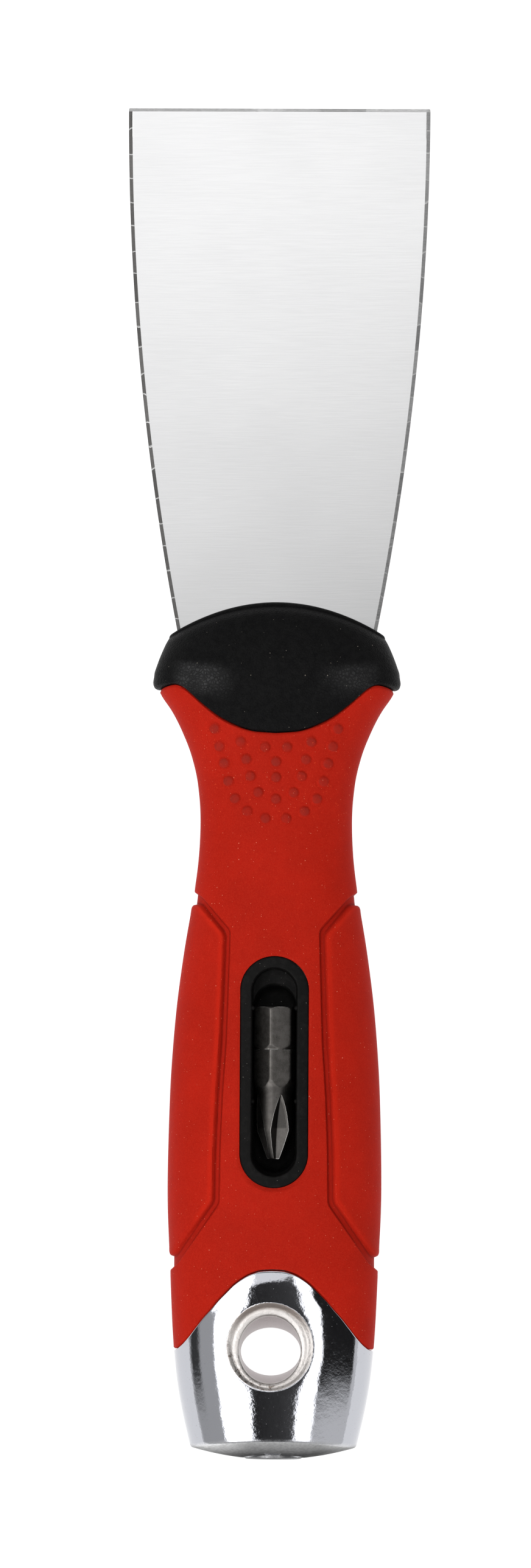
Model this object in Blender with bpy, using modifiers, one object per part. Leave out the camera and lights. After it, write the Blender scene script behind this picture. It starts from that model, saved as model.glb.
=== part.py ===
"""Painter's multi tool: a 50 mm stiff scraper blade with a full tang, a two-material grip,
a hammer end with a hang hole and a hex bit socket, and a screwdriver bit stored in a tray
let into the front of the handle.

The tool lies on its back. Lengths below are in millimetres:
  s  distance along the tool from the mouth of the bit socket (0) to the blade's edge (LENGTH)
  x  across the tool, 0 on its centre line
  z  through the tool, 0 at the middle of the blade, + towards the front face
World: +X across, +Y towards the blade's edge, +Z out of the front face, metres. The origin is
in the middle of the length and width, on the surface the tool lies on.
"""

import math

import bmesh
import bpy
from mathutils import Matrix, Vector

# ---------------------------------------------------------------- driving dimensions, mm
LENGTH = 225.0          # crown of the hammer face to the scraping edge
BLADE_WIDTH = 50.2      # at the scraping edge
BLADE_THICK = 1.5       # at the handle
EDGE_THICK = 0.8        # at the scraping edge, before its bevel
BLADE_SWEEP = 0.00112   # how fast the sides draw in: half width lost per mm squared
SHOULDER_S = 134.1      # end of the blade's full width, inside the bolster
TAPER_S = 145.5         # where the blade starts to thin towards its edge
TANG_END_S = 32.4
TANG_HALF = 5.8
EDGE_BEVEL = 0.45

GRIP_WALL = 2.4         # thickness of the soft grip and bolster over the core
GAP = 0.3               # between pieces that touch
Z_MID = 11.7            # half the greatest thickness: height of the blade's middle plane

FACE_EDGE = (3.3, 1.0)  # s of the hammer face's edge at its middle, and how far it falls to the sides
HANG_HOLE_S = 18.75
HANG_HOLE_R = 5.35      # at the foot of the countersink
HANG_HOLE_WAIST_R = 4.75
HANG_HOLE_COUNTERSINK_R = 7.25
HANG_HOLE_OVAL = 0.95   # length over width

NOSE_ARCH_R = 31.0      # plan radius of the bolster's top edge

HEX_AF = 6.35           # bit size, across flats
HEX_CORNER_R = 3.6      # its corners are slightly rounded
SOCKET_AF = 6.55
SOCKET_DEPTH = 9.4
SLEEVE_R = 5.0
BIT_LENGTH = 25.0
BIT_TOP_S = 75.2        # the shank's end as stored
BIT_AXIS_Z = 6.2
BIT_X = 0.0
BIT_TURN = math.radians(10.0)   # as stored, one corner leans this far to the left of straight up

TRAY_LOW_S, TRAY_HIGH_S = 45.3, 83.5   # outer ends of the tray's rim
TRAY_HALF = 5.6
TRAY_WALL = 1.75
TRAY_FLOOR_Z = 2.3
TRAY_BASE_Z = 1.25

GROOVE_WIDTH = 1.0
GROOVE_DEPTH = 0.8
# centre line of the left-hand grip groove on the front face: (x, s)
GROOVE = [(-22.0, 101.3), (-8.0, 87.6), (-9.35, 42.6), (-22.0, 28.6)]

DOT_R = 0.9

PIN_R = 1.6
RIVETS = [(-8.6, 127.0), (8.6, 127.0), (0.0, 108.0), (0.0, 91.5)]   # (x, s)
CAP_PINS = [36.0, 41.2]                                            # s

# Outer shape of the handle: s, half width, half thickness, squareness of the section (2 = ellipse)
OUTLINE = [
    (2.4, 13.75, 9.7, 2.35),
    (8.6, 15.2, 10.35, 2.35),
    (14.7, 16.2, 10.85, 2.35),
    (22.0, 16.8, 11.25, 2.35),
    (31.0, 17.2, 11.55, 2.35),
    (45.0, 17.75, 11.7, 2.35),
    (60.0, 17.45, 11.6, 2.35),
    (72.6, 16.65, 11.1, 2.3),
    (84.8, 15.15, 10.2, 2.25),
    (94.0, 13.6, 9.4, 2.2),
    (101.0, 12.75, 8.85, 2.2),
    (106.5, 12.55, 8.7, 2.2),
    (112.2, 13.0, 8.85, 2.2),
    (116.8, 14.05, 9.3, 2.25),
    (121.3, 15.8, 10.1, 2.3),
    (124.4, 17.4, 10.6, 2.35),
    (127.4, 19.45, 11.05, 2.4),
    (129.5, 20.35, 11.4, 2.45),
    (132.0, 20.4, 11.7, 2.5),
    (134.0, 20.0, 11.42, 2.5),
    (136.5, 19.5, 10.75, 2.55),
    (139.2, 18.85, 9.35, 2.55),
    (141.2, 18.2, 6.8, 2.6),
    (142.2, 17.4, 4.6, 2.6),
]
NOSE_S = OUTLINE[-1][0]


# ---------------------------------------------------------------- helpers
def world(x, s, z):
    return Vector((x, s - LENGTH / 2, z + Z_MID)) * 0.001


def smooth(table, t, column):
    """Cubic through a table's rows at its first column, with no overshoot at the ends."""
    rows = [r for r in table]
    if t <= rows[0][0]:
        return rows[0][column]
    if t >= rows[-1][0]:
        return rows[-1][column]
    i = max(k for k in range(len(rows) - 1) if rows[k][0] <= t)

    def slope(k):
        if k == 0 or k == len(rows) - 1:
            a, b = (0, 1) if k == 0 else (k - 1, k)
            return (rows[b][column] - rows[a][column]) / (rows[b][0] - rows[a][0])
        before = (rows[k][column] - rows[k - 1][column]) / (rows[k][0] - rows[k - 1][0])
        after = (rows[k + 1][column] - rows[k][column]) / (rows[k + 1][0] - rows[k][0])
        return 0.0 if before * after <= 0 else 2 * before * after / (before + after)

    a, b = rows[i], rows[i + 1]
    d = b[0] - a[0]
    u = (t - a[0]) / d
    return (
        (2 * u**3 - 3 * u**2 + 1) * a[column]
        + (u**3 - 2 * u**2 + u) * d * slope(i)
        + (-2 * u**3 + 3 * u**2) * b[column]
        + (u**3 - u**2) * d * slope(i + 1)
    )


def bow(s):
    """How much a section of the bolster bends back towards its sides, per mm squared."""
    return 0.5 / NOSE_ARCH_R * min(1.0, max(0.0, (s - 128.5) / (NOSE_S - 128.5))) ** 1.25


def section(s, inset=0.0, segments=32):
    """Points round the handle at station s, as (x, s, z), set in by inset."""
    half_w = smooth(OUTLINE, s, 1) - inset
    half_h = smooth(OUTLINE, s, 2) - inset
    power = 2 / smooth(OUTLINE, s, 3)
    points = []
    for k in range(segments):
        a = 2 * math.pi * k / segments
        c, d = math.cos(a), math.sin(a)
        x = half_w * math.copysign(abs(c) ** power, c) if abs(c) > 1e-9 else 0.0
        z = half_h * math.copysign(abs(d) ** power, d) if abs(d) > 1e-9 else 0.0
        points.append((x, s - bow(s) * x * x, z))
    return points


def wave(points):
    """A smooth curve s(x), the same on both sides, through half of its points."""

    def at(x):
        return smooth(points, abs(x), 1)

    return at


# where the chrome cap meets the grip
cap_line = wave(
    [
        (0.0, 31.8),
        (3.0, 31.4),
        (5.15, 30.35),
        (7.7, 28.15),
        (10.25, 25.25),
        (12.75, 22.25),
        (15.2, 19.35),
        (16.2, 18.65),
        (18.0, 18.3),
    ]
)


# where the bolster meets the grip
bolster_line = wave(
    [
        (0.0, 120.45),
        (5.3, 121.15),
        (9.4, 123.0),
        (11.3, 124.4),
        (14.3, 127.0),
        (15.6, 128.0),
        (17.0, 128.45),
        (18.6, 128.15),
        (22.0, 126.3),
    ]
)

for old in list(bpy.data.objects):
    bpy.data.objects.remove(old)
tool = bpy.data.collections.new("painters_multi_tool")
cutters = bpy.data.collections.new("cutters")
bpy.context.scene.collection.children.link(tool)
bpy.context.scene.collection.children.link(cutters)
cutters.hide_render = True


def material(name, colour, roughness, metallic=0.0):
    made = bpy.data.materials.new(name)
    made.use_nodes = True
    shader = made.node_tree.nodes["Principled BSDF"]
    shader.inputs["Base Color"].default_value = (*colour, 1.0)
    shader.inputs["Roughness"].default_value = roughness
    shader.inputs["Metallic"].default_value = metallic
    return made


BLADE_STEEL = material("blade_steel", (0.72, 0.73, 0.74), 0.28, 1.0)
RED_SOFT = material("red_soft_grip", (0.46, 0.012, 0.008), 0.55)
BLACK_SOFT = material("black_soft_grip", (0.012, 0.012, 0.013), 0.6)
TRAY_PLASTIC = material("tray_plastic", (0.016, 0.016, 0.017), 0.5)
BLACK_CORE = material("core_plastic", (0.02, 0.02, 0.022), 0.45)
CHROME = material("chrome", (0.85, 0.85, 0.87), 0.06, 1.0)
PIN_STEEL = material("pin_steel", (0.55, 0.55, 0.56), 0.35, 1.0)
BIT_STEEL = material("bit_steel", (0.22, 0.21, 0.2), 0.38, 1.0)
MAGNET = material("magnet", (0.3, 0.3, 0.32), 0.3, 1.0)


def add(name, mesh, surface=None):
    """A part, or with no material a cutter, from a mesh."""
    obj = bpy.data.objects.new(name, mesh)
    if surface is None:
        cutters.objects.link(obj)
        obj.hide_render = True
        obj.display_type = "WIRE"
    else:
        tool.objects.link(obj)
        obj.data.materials.append(surface)
        obj.data.shade_smooth()
        obj.data.set_sharp_from_angle(angle=math.radians(32))
    return obj


def loft(name, rings, surface=None, low="ladder", high="ladder", origin=None):
    """Skins rings of points. An end is closed by a ladder of quads across it or by a fan to a point."""
    bm = bmesh.new()
    loops = [[bm.verts.new(world(*p)) for p in ring] for ring in rings]
    n = len(loops[0])
    for a, b in zip(loops, loops[1:]):
        for k in range(n):
            bm.faces.new((a[k], a[(k + 1) % n], b[(k + 1) % n], b[k]))
    for loop, how in ((loops[0], low), (loops[-1], high)):
        if how == "ladder":
            for k in range(n // 2):
                quad = [loop[k], loop[k + 1], loop[(n - k - 1) % n], loop[(n - k) % n]]
                unique = [v for i, v in enumerate(quad) if v not in quad[:i]]
                if len(unique) > 2:
                    bm.faces.new(unique)
        else:
            tip = bm.verts.new(world(*how))
            for k in range(n):
                bm.faces.new((loop[k], loop[(k + 1) % n], tip))
    bmesh.ops.recalc_face_normals(bm, faces=bm.faces)
    mesh = bpy.data.meshes.new(name)
    bm.to_mesh(mesh)
    bm.free()
    obj = add(name, mesh, surface)
    if origin:
        mesh.transform(Matrix.Translation(-world(*origin)))
        obj.location = world(*origin)
    return obj


def from_curve(name, curve_object, surface=None):
    """The curve as a welded mesh."""
    bpy.context.view_layer.update()
    graph = bpy.context.evaluated_depsgraph_get()
    mesh = bpy.data.meshes.new_from_object(curve_object.evaluated_get(graph))
    mesh.transform(curve_object.matrix_world)
    bm = bmesh.new()
    bm.from_mesh(mesh)
    bmesh.ops.remove_doubles(bm, verts=bm.verts, dist=1e-7)
    bmesh.ops.recalc_face_normals(bm, faces=bm.faces)
    bm.to_mesh(mesh)
    bm.free()
    bpy.data.objects.remove(curve_object)
    return add(name, mesh, surface)


def plate(name, outline, z_low, z_high, surface=None):
    """A flat outline of (x, s) points, extruded through z."""
    curve = bpy.data.curves.new(name, "CURVE")
    curve.dimensions = "2D"
    curve.fill_mode = "BOTH"
    curve.extrude = (z_high - z_low) / 2 * 0.001
    spline = curve.splines.new("POLY")
    spline.points.add(len(outline) - 1)
    for point, (x, s) in zip(spline.points, outline):
        at = world(x, s, 0)
        point.co = (at.x, at.y, 0, 1)
    spline.use_cyclic_u = True
    obj = bpy.data.objects.new(name + "_curve", curve)
    obj.location.z = ((z_low + z_high) / 2 + Z_MID) * 0.001
    cutters.objects.link(obj)
    return from_curve(name, obj, surface)


def block(name, low, high, surface=None):
    """A box between two (x, s, z) corners."""
    bm = bmesh.new()
    bmesh.ops.create_cube(bm, size=1)
    a, b = world(*low), world(*high)
    for v in bm.verts:
        v.co = Vector([a[k] + (v.co[k] + 0.5) * (b[k] - a[k]) for k in range(3)])
    mesh = bpy.data.meshes.new(name)
    bm.to_mesh(mesh)
    bm.free()
    return add(name, mesh, surface)


def turned(name, profile, centre, axis, steps=24, surface=None, squash=1.0):
    """A profile of (radius, distance along the axis), turned about an axis through centre."""
    curve_mesh = bpy.data.meshes.new(name)
    points = [(r * 0.001, 0, d * 0.001) for r, d in profile]
    curve_mesh.from_pydata(points, [(k, k + 1) for k in range(len(points) - 1)], [])
    obj = bpy.data.objects.new(name + "_profile", curve_mesh)
    cutters.objects.link(obj)
    screw = obj.modifiers.new("turn", "SCREW")
    screw.axis = "Z"
    screw.steps = screw.render_steps = steps
    screw.use_merge_vertices = True
    screw.merge_threshold = 0.00001
    bpy.context.view_layer.update()
    graph = bpy.context.evaluated_depsgraph_get()
    mesh = bpy.data.meshes.new_from_object(obj.evaluated_get(graph))
    bpy.data.objects.remove(obj)
    half_step = Matrix.Rotation(math.pi / steps, 4, "Z")
    mesh.transform(Matrix.Diagonal((1, squash, 1, 1)) @ half_step)
    bm = bmesh.new()
    bm.from_mesh(mesh)
    bmesh.ops.remove_doubles(bm, verts=bm.verts, dist=1e-7)
    bmesh.ops.recalc_face_normals(bm, faces=bm.faces)
    bm.to_mesh(mesh)
    bm.free()
    obj = add(name, mesh, surface)
    obj.location = world(*centre)
    obj.rotation_euler = (
        Vector((0, 0, 1)).rotation_difference(Vector(axis)).to_euler()
    )
    return obj


def cut(obj, *others, how="DIFFERENCE"):
    for other in others:
        boolean = obj.modifiers.new(how.lower() + "_" + other.name, "BOOLEAN")
        boolean.operation = how
        boolean.object = other
        boolean.solver = "EXACT"


def stadium(half, low, high, steps=9):
    """Outline of a slot with round ends, from s = low to high."""
    points = []
    for k in range(steps + 1):
        a = math.pi * k / steps
        points.append((half * math.cos(a), high - half + half * math.sin(a)))
    for k in range(steps + 1):
        a = math.pi + math.pi * k / steps
        points.append((half * math.cos(a), low + half + half * math.sin(a)))
    return points


def above(name, line, shift):
    """Everything on the blade's side of a seam, shifted along s."""
    xs = [-24 + 48 * k / 40 for k in range(41)]
    return plate(
        name,
        [(x, line(x) + shift) for x in xs] + [(24, 160), (-24, 160)],
        -16,
        16,
    )


def below(name, line, shift):
    """Everything on the cap's side of a seam."""
    xs = [-24 + 48 * k / 40 for k in range(41)]
    return plate(
        name,
        [(24, -8), (-24, -8)] + [(x, line(x) + shift) for x in xs],
        -16,
        16,
    )


def stations(low, high, *more):
    """The outline's own stations between two, with both ends and any extra."""
    kept = [r[0] for r in OUTLINE if low + 0.8 < r[0] < high - 0.8]
    return sorted({low, high, *kept, *more})


# ---------------------------------------------------------------- blade and tang
def blade_half(s):
    return BLADE_WIDTH / 2 - BLADE_SWEEP * (LENGTH - s) ** 2


def blade_ring(s, half, thick, bevel=EDGE_BEVEL):
    t = thick / 2
    b = min(bevel, half / 3)
    e = t * 0.4
    return [
        (half, s, e), (half - b, s, t), (-half + b, s, t), (-half, s, e),
        (-half, s, -e), (-half + b, s, -t), (half - b, s, -t), (half, s, -e),
    ]  # fmt: skip


def blade_thick(s):
    """Even thickness in the handle, then a straight taper on both faces."""
    t = max(0.0, (s - TAPER_S) / (LENGTH - EDGE_BEVEL - TAPER_S))
    return BLADE_THICK + (EDGE_THICK - BLADE_THICK) * t


rings = [
    blade_ring(TANG_END_S, TANG_HALF - 1, BLADE_THICK),
    blade_ring(TANG_END_S + 1, TANG_HALF, BLADE_THICK),
    blade_ring(112.0, TANG_HALF, BLADE_THICK),
    blade_ring(114.5, 6.3, BLADE_THICK),
    blade_ring(117.0, 8.0, BLADE_THICK),
    blade_ring(119.6, 11.0, BLADE_THICK),
    blade_ring(121.5, 12.0, BLADE_THICK),
    blade_ring(SHOULDER_S - 0.6, 12.2, BLADE_THICK),
    blade_ring(SHOULDER_S, 16.0, BLADE_THICK),
]
for s in (SHOULDER_S + 1.4, 140.0):
    rings.append(blade_ring(s, blade_half(s), BLADE_THICK))
count = 14
for k in range(count):
    s = TAPER_S + (LENGTH - EDGE_BEVEL - TAPER_S) * k / (count - 1)
    rings.append(blade_ring(s, blade_half(s), blade_thick(s)))
rings.append(blade_ring(LENGTH, BLADE_WIDTH / 2 - EDGE_BEVEL / 2, 0.3))


def flat_loft(name, rings, surface):
    """A loft of the blade's eight-point sections, closed by quads."""
    bm = bmesh.new()
    loops = [[bm.verts.new(world(*p)) for p in ring] for ring in rings]
    n = 8
    for a, b in zip(loops, loops[1:]):
        for k in range(n):
            bm.faces.new((a[k], a[(k + 1) % n], b[(k + 1) % n], b[k]))
    for loop in (loops[0], loops[-1]):
        for quad in ((0, 1, 6, 7), (1, 2, 5, 6), (2, 3, 4, 5)):
            bm.faces.new([loop[k] for k in quad])
    bmesh.ops.recalc_face_normals(bm, faces=bm.faces)
    mesh = bpy.data.meshes.new(name)
    bm.to_mesh(mesh)
    bm.free()
    return add(name, mesh, surface)


blade = flat_loft("blade", rings, BLADE_STEEL)


def rod(name, x, s, radius, z_low=-14.0, z_high=14.0, steps=16):
    return turned(
        name,
        [(0, z_high), (radius, z_high), (radius, z_low), (0, z_low)],
        (x, s, 0),
        (0, 0, 1),
        steps,
    )


rivet_holes = [
    rod(f"rivet_hole_{k + 1}", x, s, PIN_R + 0.15) for k, (x, s) in enumerate(RIVETS)
]
pin_holes = [
    rod(f"cap_pin_hole_{k + 1}", 0, s, PIN_R + 0.15) for k, s in enumerate(CAP_PINS)
]
cut(blade, *rivet_holes, *pin_holes)

# ---------------------------------------------------------------- rigid core, two halves
core_stations = [17.0, 24.0, 31.0, 45.0, 60.0, 74.0, 86.0, 94.0, 101.0, 107.0, 113.0,
                 118.0, 122.0, 126.0, 129.5, 133.2]  # fmt: skip


def core_ring(s, inset):
    """The core's sections stay flat, so its end is square to the blade."""
    half_w = smooth(OUTLINE, s, 1) - inset
    if s > 126:
        half_w = min(half_w, 16.6 - (inset - GRIP_WALL - GAP))
    half_h = smooth(OUTLINE, s, 2) - inset
    power = 2 / 2.3
    ring = []
    for k in range(24):
        a = 2 * math.pi * k / 24
        c, d = math.cos(a), math.sin(a)
        x = half_w * math.copysign(abs(c) ** power, c) if abs(c) > 1e-9 else 0.0
        z = half_h * math.copysign(abs(d) ** power, d) if abs(d) > 1e-9 else 0.0
        ring.append((x, s, z))
    return ring


stem_pocket = block("stem_pocket", (-7.3, 20, -4.5), (7.3, 44.6, 4.5))
tang_pocket = plate(
    "tang_pocket",
    [
        (-12.6, SHOULDER_S + 4), (-12.5, 121.3), (-11.4, 119.2), (-8.5, 116.5),
        (-6.7, 114.0), (-6.2, 111.8), (-6.2, 40), (6.2, 40), (6.2, 111.8),
        (6.7, 114.0), (8.5, 116.5), (11.4, 119.2), (12.5, 121.3), (12.6, SHOULDER_S + 4),
    ],
    -BLADE_THICK / 2 - 0.2,
    BLADE_THICK / 2 + 0.2,
)  # fmt: skip
tray_pocket = plate(
    "tray_pocket",
    stadium(TRAY_HALF + GAP, TRAY_LOW_S - GAP, TRAY_HIGH_S + GAP),
    0.0,
    20,
)
core_foot = below("core_foot", cap_line, 0.9)


def rivet_seat(s):
    """Floor of a rivet's counterbore, from the blade's middle plane."""
    return smooth(OUTLINE, s, 2) - GRIP_WALL - GAP - 3.1


counterbores = [
    rod(f"counterbore_{side}_{k + 1}", x, s, 3.0, *ends)
    for k, (x, s) in enumerate(RIVETS)
    for side, ends in (
        ("front", (rivet_seat(s), 14.0)),
        ("rear", (-14.0, -rivet_seat(s))),
    )
]
# the core is cored out beside the tang, to an even wall, on both sides of the split
lightening = [
    block(f"core_out_{k + 1}", (x0, s0, -5.6), (x1, s1, 5.6))
    for k, (x0, x1, s0, s1) in enumerate(
        [
            (-11.4, -8.4, 34.0, 48.0),
            (8.4, 11.4, 34.0, 48.0),
            (-11.4, -8.4, 50.0, 64.0),
            (8.4, 11.4, 50.0, 64.0),
            (-10.2, -7.8, 66.0, 80.0),
            (7.8, 10.2, 66.0, 80.0),
        ]
    )
]
for name, low, high in (("core_front", 0.15, 14.0), ("core_rear", -14.0, -0.15)):
    half = loft(
        name, [core_ring(s, GRIP_WALL + GAP) for s in core_stations], BLACK_CORE
    )
    keep = block(name + "_side", (-24, 0, low), (24, 160, high))
    cut(half, keep, how="INTERSECT")
    if name == "core_front":
        cut(half, tray_pocket)
    cut(half, core_foot, stem_pocket, tang_pocket, *lightening)
    cut(half, *rivet_holes)
    side = "front" if name == "core_front" else "rear"
    cut(half, *[c for c in counterbores if f"_{side}_" in c.name])

for k, (x, s) in enumerate(RIVETS):
    seat = rivet_seat(s)
    turned(
        f"tang_rivet_{k + 1}",
        [
            (0, seat + 1.35), (1.6, seat + 1.2), (2.6, seat + 0.5), (2.6, seat + 0.1),
            (PIN_R, seat + 0.1), (PIN_R, -seat - 0.1), (2.6, -seat - 0.1),
            (2.6, -seat - 0.5), (1.6, -seat - 1.2), (0, -seat - 1.35),
        ],
        (x, s, 0),
        (0, 0, 1),
        16,
        PIN_STEEL,
    )  # fmt: skip

# ---------------------------------------------------------------- hammer cap
cap_rings = [
    [
        (x * share, (FACE_EDGE[0] - FACE_EDGE[1] * (x / 13.75) ** 2) * share**2, z * share)
        for x, _, z in section(2.8)
    ]
    for share in (0.3, 0.62, 0.88, 1.0)
] + [section(s) for s in (5.0, 8.6, 14.7, 20.0, 26.0, 34.0)]
cap = loft("hammer_cap", cap_rings, CHROME, low=(0, 0, 0))
stem = block("cap_stem", (-7.0, 24.0, -4.2), (7.0, 44.2, 4.2))
cut(cap, above("cap_top", cap_line, -0.15))
cut(cap, stem, how="UNION")
cut(cap, block("tang_slot", (-9, TANG_END_S - 0.4, -1.05), (9, 60, 1.05)))
cut(cap, *pin_holes)
sink = HANG_HOLE_COUNTERSINK_R + 2
hang_hole = turned(
    "hang_hole",
    [
        (0, 10.95 + 2), (sink, 10.95 + 2), (HANG_HOLE_R, 8.95),
        (HANG_HOLE_WAIST_R, 0.0), (HANG_HOLE_R, -8.95), (sink, -10.95 - 2), (0, -10.95 - 2),
    ],
    (0, HANG_HOLE_S, 0),
    (0, 0, 1),
    28,
    squash=HANG_HOLE_OVAL,
)  # fmt: skip
sleeve_seat = turned(
    "sleeve_seat",
    [(0, 13), (SLEEVE_R + 0.1, 13), (SLEEVE_R + 0.1, -SOCKET_DEPTH - 1.5), (0, -SOCKET_DEPTH - 1.5)],
    (0, 0, 0),
    (0, -1, 0),
    24,
)  # fmt: skip
cut(cap, hang_hole, sleeve_seat)

sleeve = turned(
    "bit_socket_sleeve",
    [(0, -0.2), (SLEEVE_R - 0.5, -0.2), (SLEEVE_R - 0.2, -0.5), (SLEEVE_R - 0.2, -SOCKET_DEPTH - 0.1), (0, -SOCKET_DEPTH - 0.1)],
    (0, 0, 0),
    (0, -1, 0),
    24,
    PIN_STEEL,
)  # fmt: skip


def hexagon(across, turn=0.0):
    r = across / math.sqrt(3)
    return [
        (r * math.cos(turn + math.pi / 3 * k), r * math.sin(turn + math.pi / 3 * k))
        for k in range(6)
    ]


def prism_along_s(name, shape, low, high, surface=None):
    """A shape of (x, z) points, extruded along the tool."""
    curve = bpy.data.curves.new(name, "CURVE")
    curve.dimensions = "2D"
    curve.fill_mode = "BOTH"
    curve.extrude = (high - low) / 2 * 0.001
    spline = curve.splines.new("POLY")
    spline.points.add(len(shape) - 1)
    for point, (x, z) in zip(spline.points, shape):
        point.co = (x * 0.001, z * 0.001, 0, 1)
    spline.use_cyclic_u = True
    obj = bpy.data.objects.new(name + "_curve", curve)
    obj.location = world(0, (low + high) / 2, 0)
    obj.rotation_euler.x = math.pi / 2
    cutters.objects.link(obj)
    return from_curve(name, obj, surface)


cut(sleeve, prism_along_s("socket_hex", hexagon(SOCKET_AF), -3, SOCKET_DEPTH + 1))
turned(
    "socket_magnet",
    [(0, -SOCKET_DEPTH - 0.3), (4.2, -SOCKET_DEPTH - 0.3), (4.2, -SOCKET_DEPTH - 1.3), (0, -SOCKET_DEPTH - 1.3)],
    (0, 0, 0),
    (0, -1, 0),
    20,
    MAGNET,
)  # fmt: skip
for k, s in enumerate(CAP_PINS):
    turned(
        f"cap_pin_{k + 1}",
        [(0, 4.1), (PIN_R - 0.3, 4.1), (PIN_R, 3.8), (PIN_R, -3.8), (PIN_R - 0.3, -4.1), (0, -4.1)],
        (0, s, 0),
        (0, 0, 1),
        16,
        PIN_STEEL,
    )  # fmt: skip

# ---------------------------------------------------------------- soft grip
core_clearance = loft(
    "core_clearance",
    [core_ring(s, GRIP_WALL) for s in [12.0] + core_stations[:-1] + [133.5]],
)
grip = loft(
    "grip_sleeve",
    [section(s) for s in stations(15.0, 134.0, 38.0, 52.0, 66.0, 79.0, 90.0)],
    RED_SOFT,
)
cut(grip, above("grip_top", bolster_line, -0.15))
cut(grip, below("grip_foot", cap_line, 0.15))
cut(grip, core_clearance)
window = plate(
    "window",
    stadium(TRAY_HALF + GAP, TRAY_LOW_S - GAP, TRAY_HIGH_S + GAP),
    2.0,
    20,
)
cut(grip, window)


def band(points, half):
    """Outline of a strip of even width along a centre line."""
    left, right = [], []
    for k, (x, s) in enumerate(points):
        a = Vector(points[max(0, k - 1)])
        b = Vector(points[min(len(points) - 1, k + 1)])
        p = Vector((x, s))
        before = (p - a).normalized() if k else (b - p).normalized()
        after = (b - p).normalized() if k < len(points) - 1 else before
        mid = (before + after).normalized()
        normal = Vector((-mid.y, mid.x)) * half / max(0.5, mid.dot(before))
        left.append(tuple(p + normal))
        right.append(tuple(p - normal))
    return left + right[::-1]


for side, sign in (("left", 1), ("right", -1)):
    strip = plate(
        f"groove_{side}",
        [(sign * x, s) for x, s in band(GROOVE, GROOVE_WIDTH / 2)],
        -16,
        16,
    )
    inner = loft(
        f"groove_floor_{side}",
        [section(s, GROOVE_DEPTH, 32) for s in stations(20.0, 110.0)],
    )
    cut(strip, inner)
    cut(grip, strip)

# raised thumb dots: three nested rows, open towards the blade
def skin_z(x, s):
    """Height of the front face at (x, s)."""
    n = smooth(OUTLINE, s, 3)
    return smooth(OUTLINE, s, 2) * (1 - abs(x / smooth(OUTLINE, s, 1)) ** n) ** (1 / n)


DOTS = [(0.0, 109.8), (0.0, 116.0), (0.0, 113.4)]
DOTS += [
    (side * x, s)
    for side in (-1, 1)
    for x, s in [
        (10.1, 121.5), (9.3, 118.6), (8.5, 115.8), (7.8, 112.8), (6.7, 109.9),
        (4.7, 107.8), (1.7, 106.6), (5.8, 119.3), (4.9, 116.4), (4.2, 113.6),
        (2.9, 110.9), (1.8, 118.4),
    ]
]  # fmt: skip
dome = [(0, 0.42), (0.45, 0.33), (DOT_R, 0.0), (DOT_R, -0.9), (0, -0.9)]
beads = bmesh.new()
for k, (x, s) in enumerate(DOTS):
    step = 0.2
    lean = Vector(
        (
            skin_z(x - step, s) - skin_z(x + step, s),
            skin_z(x, s - step) - skin_z(x, s + step),
            2 * step,
        )
    )
    dot = turned(f"dot_{k + 1}", dome, (x, s, skin_z(x, s)), lean, 8)
    bpy.context.view_layer.update()
    dot.data.transform(dot.matrix_world)
    beads.from_mesh(dot.data)
    bpy.data.objects.remove(dot)
bead_mesh = bpy.data.meshes.new("grip_dots")
beads.to_mesh(bead_mesh)
beads.free()
cut(grip, add("grip_dots", bead_mesh), how="UNION")

# ---------------------------------------------------------------- bolster
bolster = loft(
    "bolster",
    [section(s) for s in stations(117.0, NOSE_S, 135.2, 138.0)],
    BLACK_SOFT,
)
cut(bolster, below("bolster_foot", bolster_line, 0.15))
cut(bolster, core_clearance)
blade_slot = plate(
    "blade_slot",
    [(-12.9, 130), (-12.9, SHOULDER_S - 0.9), (-16.6, SHOULDER_S - 0.4), (-17.6, 147),
     (17.6, 147), (16.6, SHOULDER_S - 0.4), (12.9, SHOULDER_S - 0.9), (12.9, 130)],
    -BLADE_THICK / 2 - 0.15,
    BLADE_THICK / 2 + 0.15,
)  # fmt: skip
cut(bolster, blade_slot)

# ---------------------------------------------------------------- bit tray and bit
tray = plate("bit_tray", stadium(TRAY_HALF, TRAY_LOW_S, TRAY_HIGH_S), 1.0, 20, TRAY_PLASTIC)
tray_skin = loft(
    "tray_skin",
    [section(s, -0.2, 40) for s in stations(36.0, 94.0, 52.0, 66.0, 79.0)],
)
cut(tray, tray_skin, how="INTERSECT")
cavity_half = TRAY_HALF - TRAY_WALL
cavity = plate(
    "tray_cavity",
    stadium(cavity_half, TRAY_LOW_S + TRAY_WALL + 0.6, TRAY_HIGH_S - TRAY_WALL),
    TRAY_FLOOR_Z,
    20,
)
cut(tray, cavity)
foot = plate(
    "tray_foot_trim",
    [(-9, 40), (-9, 90), (9, 90), (9, 40)],
    -3,
    TRAY_BASE_Z,
)
cut(tray, foot)
for k, (sign, s) in enumerate([(-1, 73.9), (1, 73.9), (-1, 59.0), (1, 59.0)]):
    nub = turned(
        f"tray_nub_{k + 1}",
        [(0, 8.3), (0.45, 8.0), (0.45, 2.0), (0, 2.0)],
        (sign * (cavity_half + 0.25), s, 0),
        (0, 0, 1),
        8,
    )
    cut(tray, nub, how="UNION")

# the bit: hex shank with its two detent notches, round neck, crossed tip
bit_low = BIT_TOP_S - BIT_LENGTH


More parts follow.
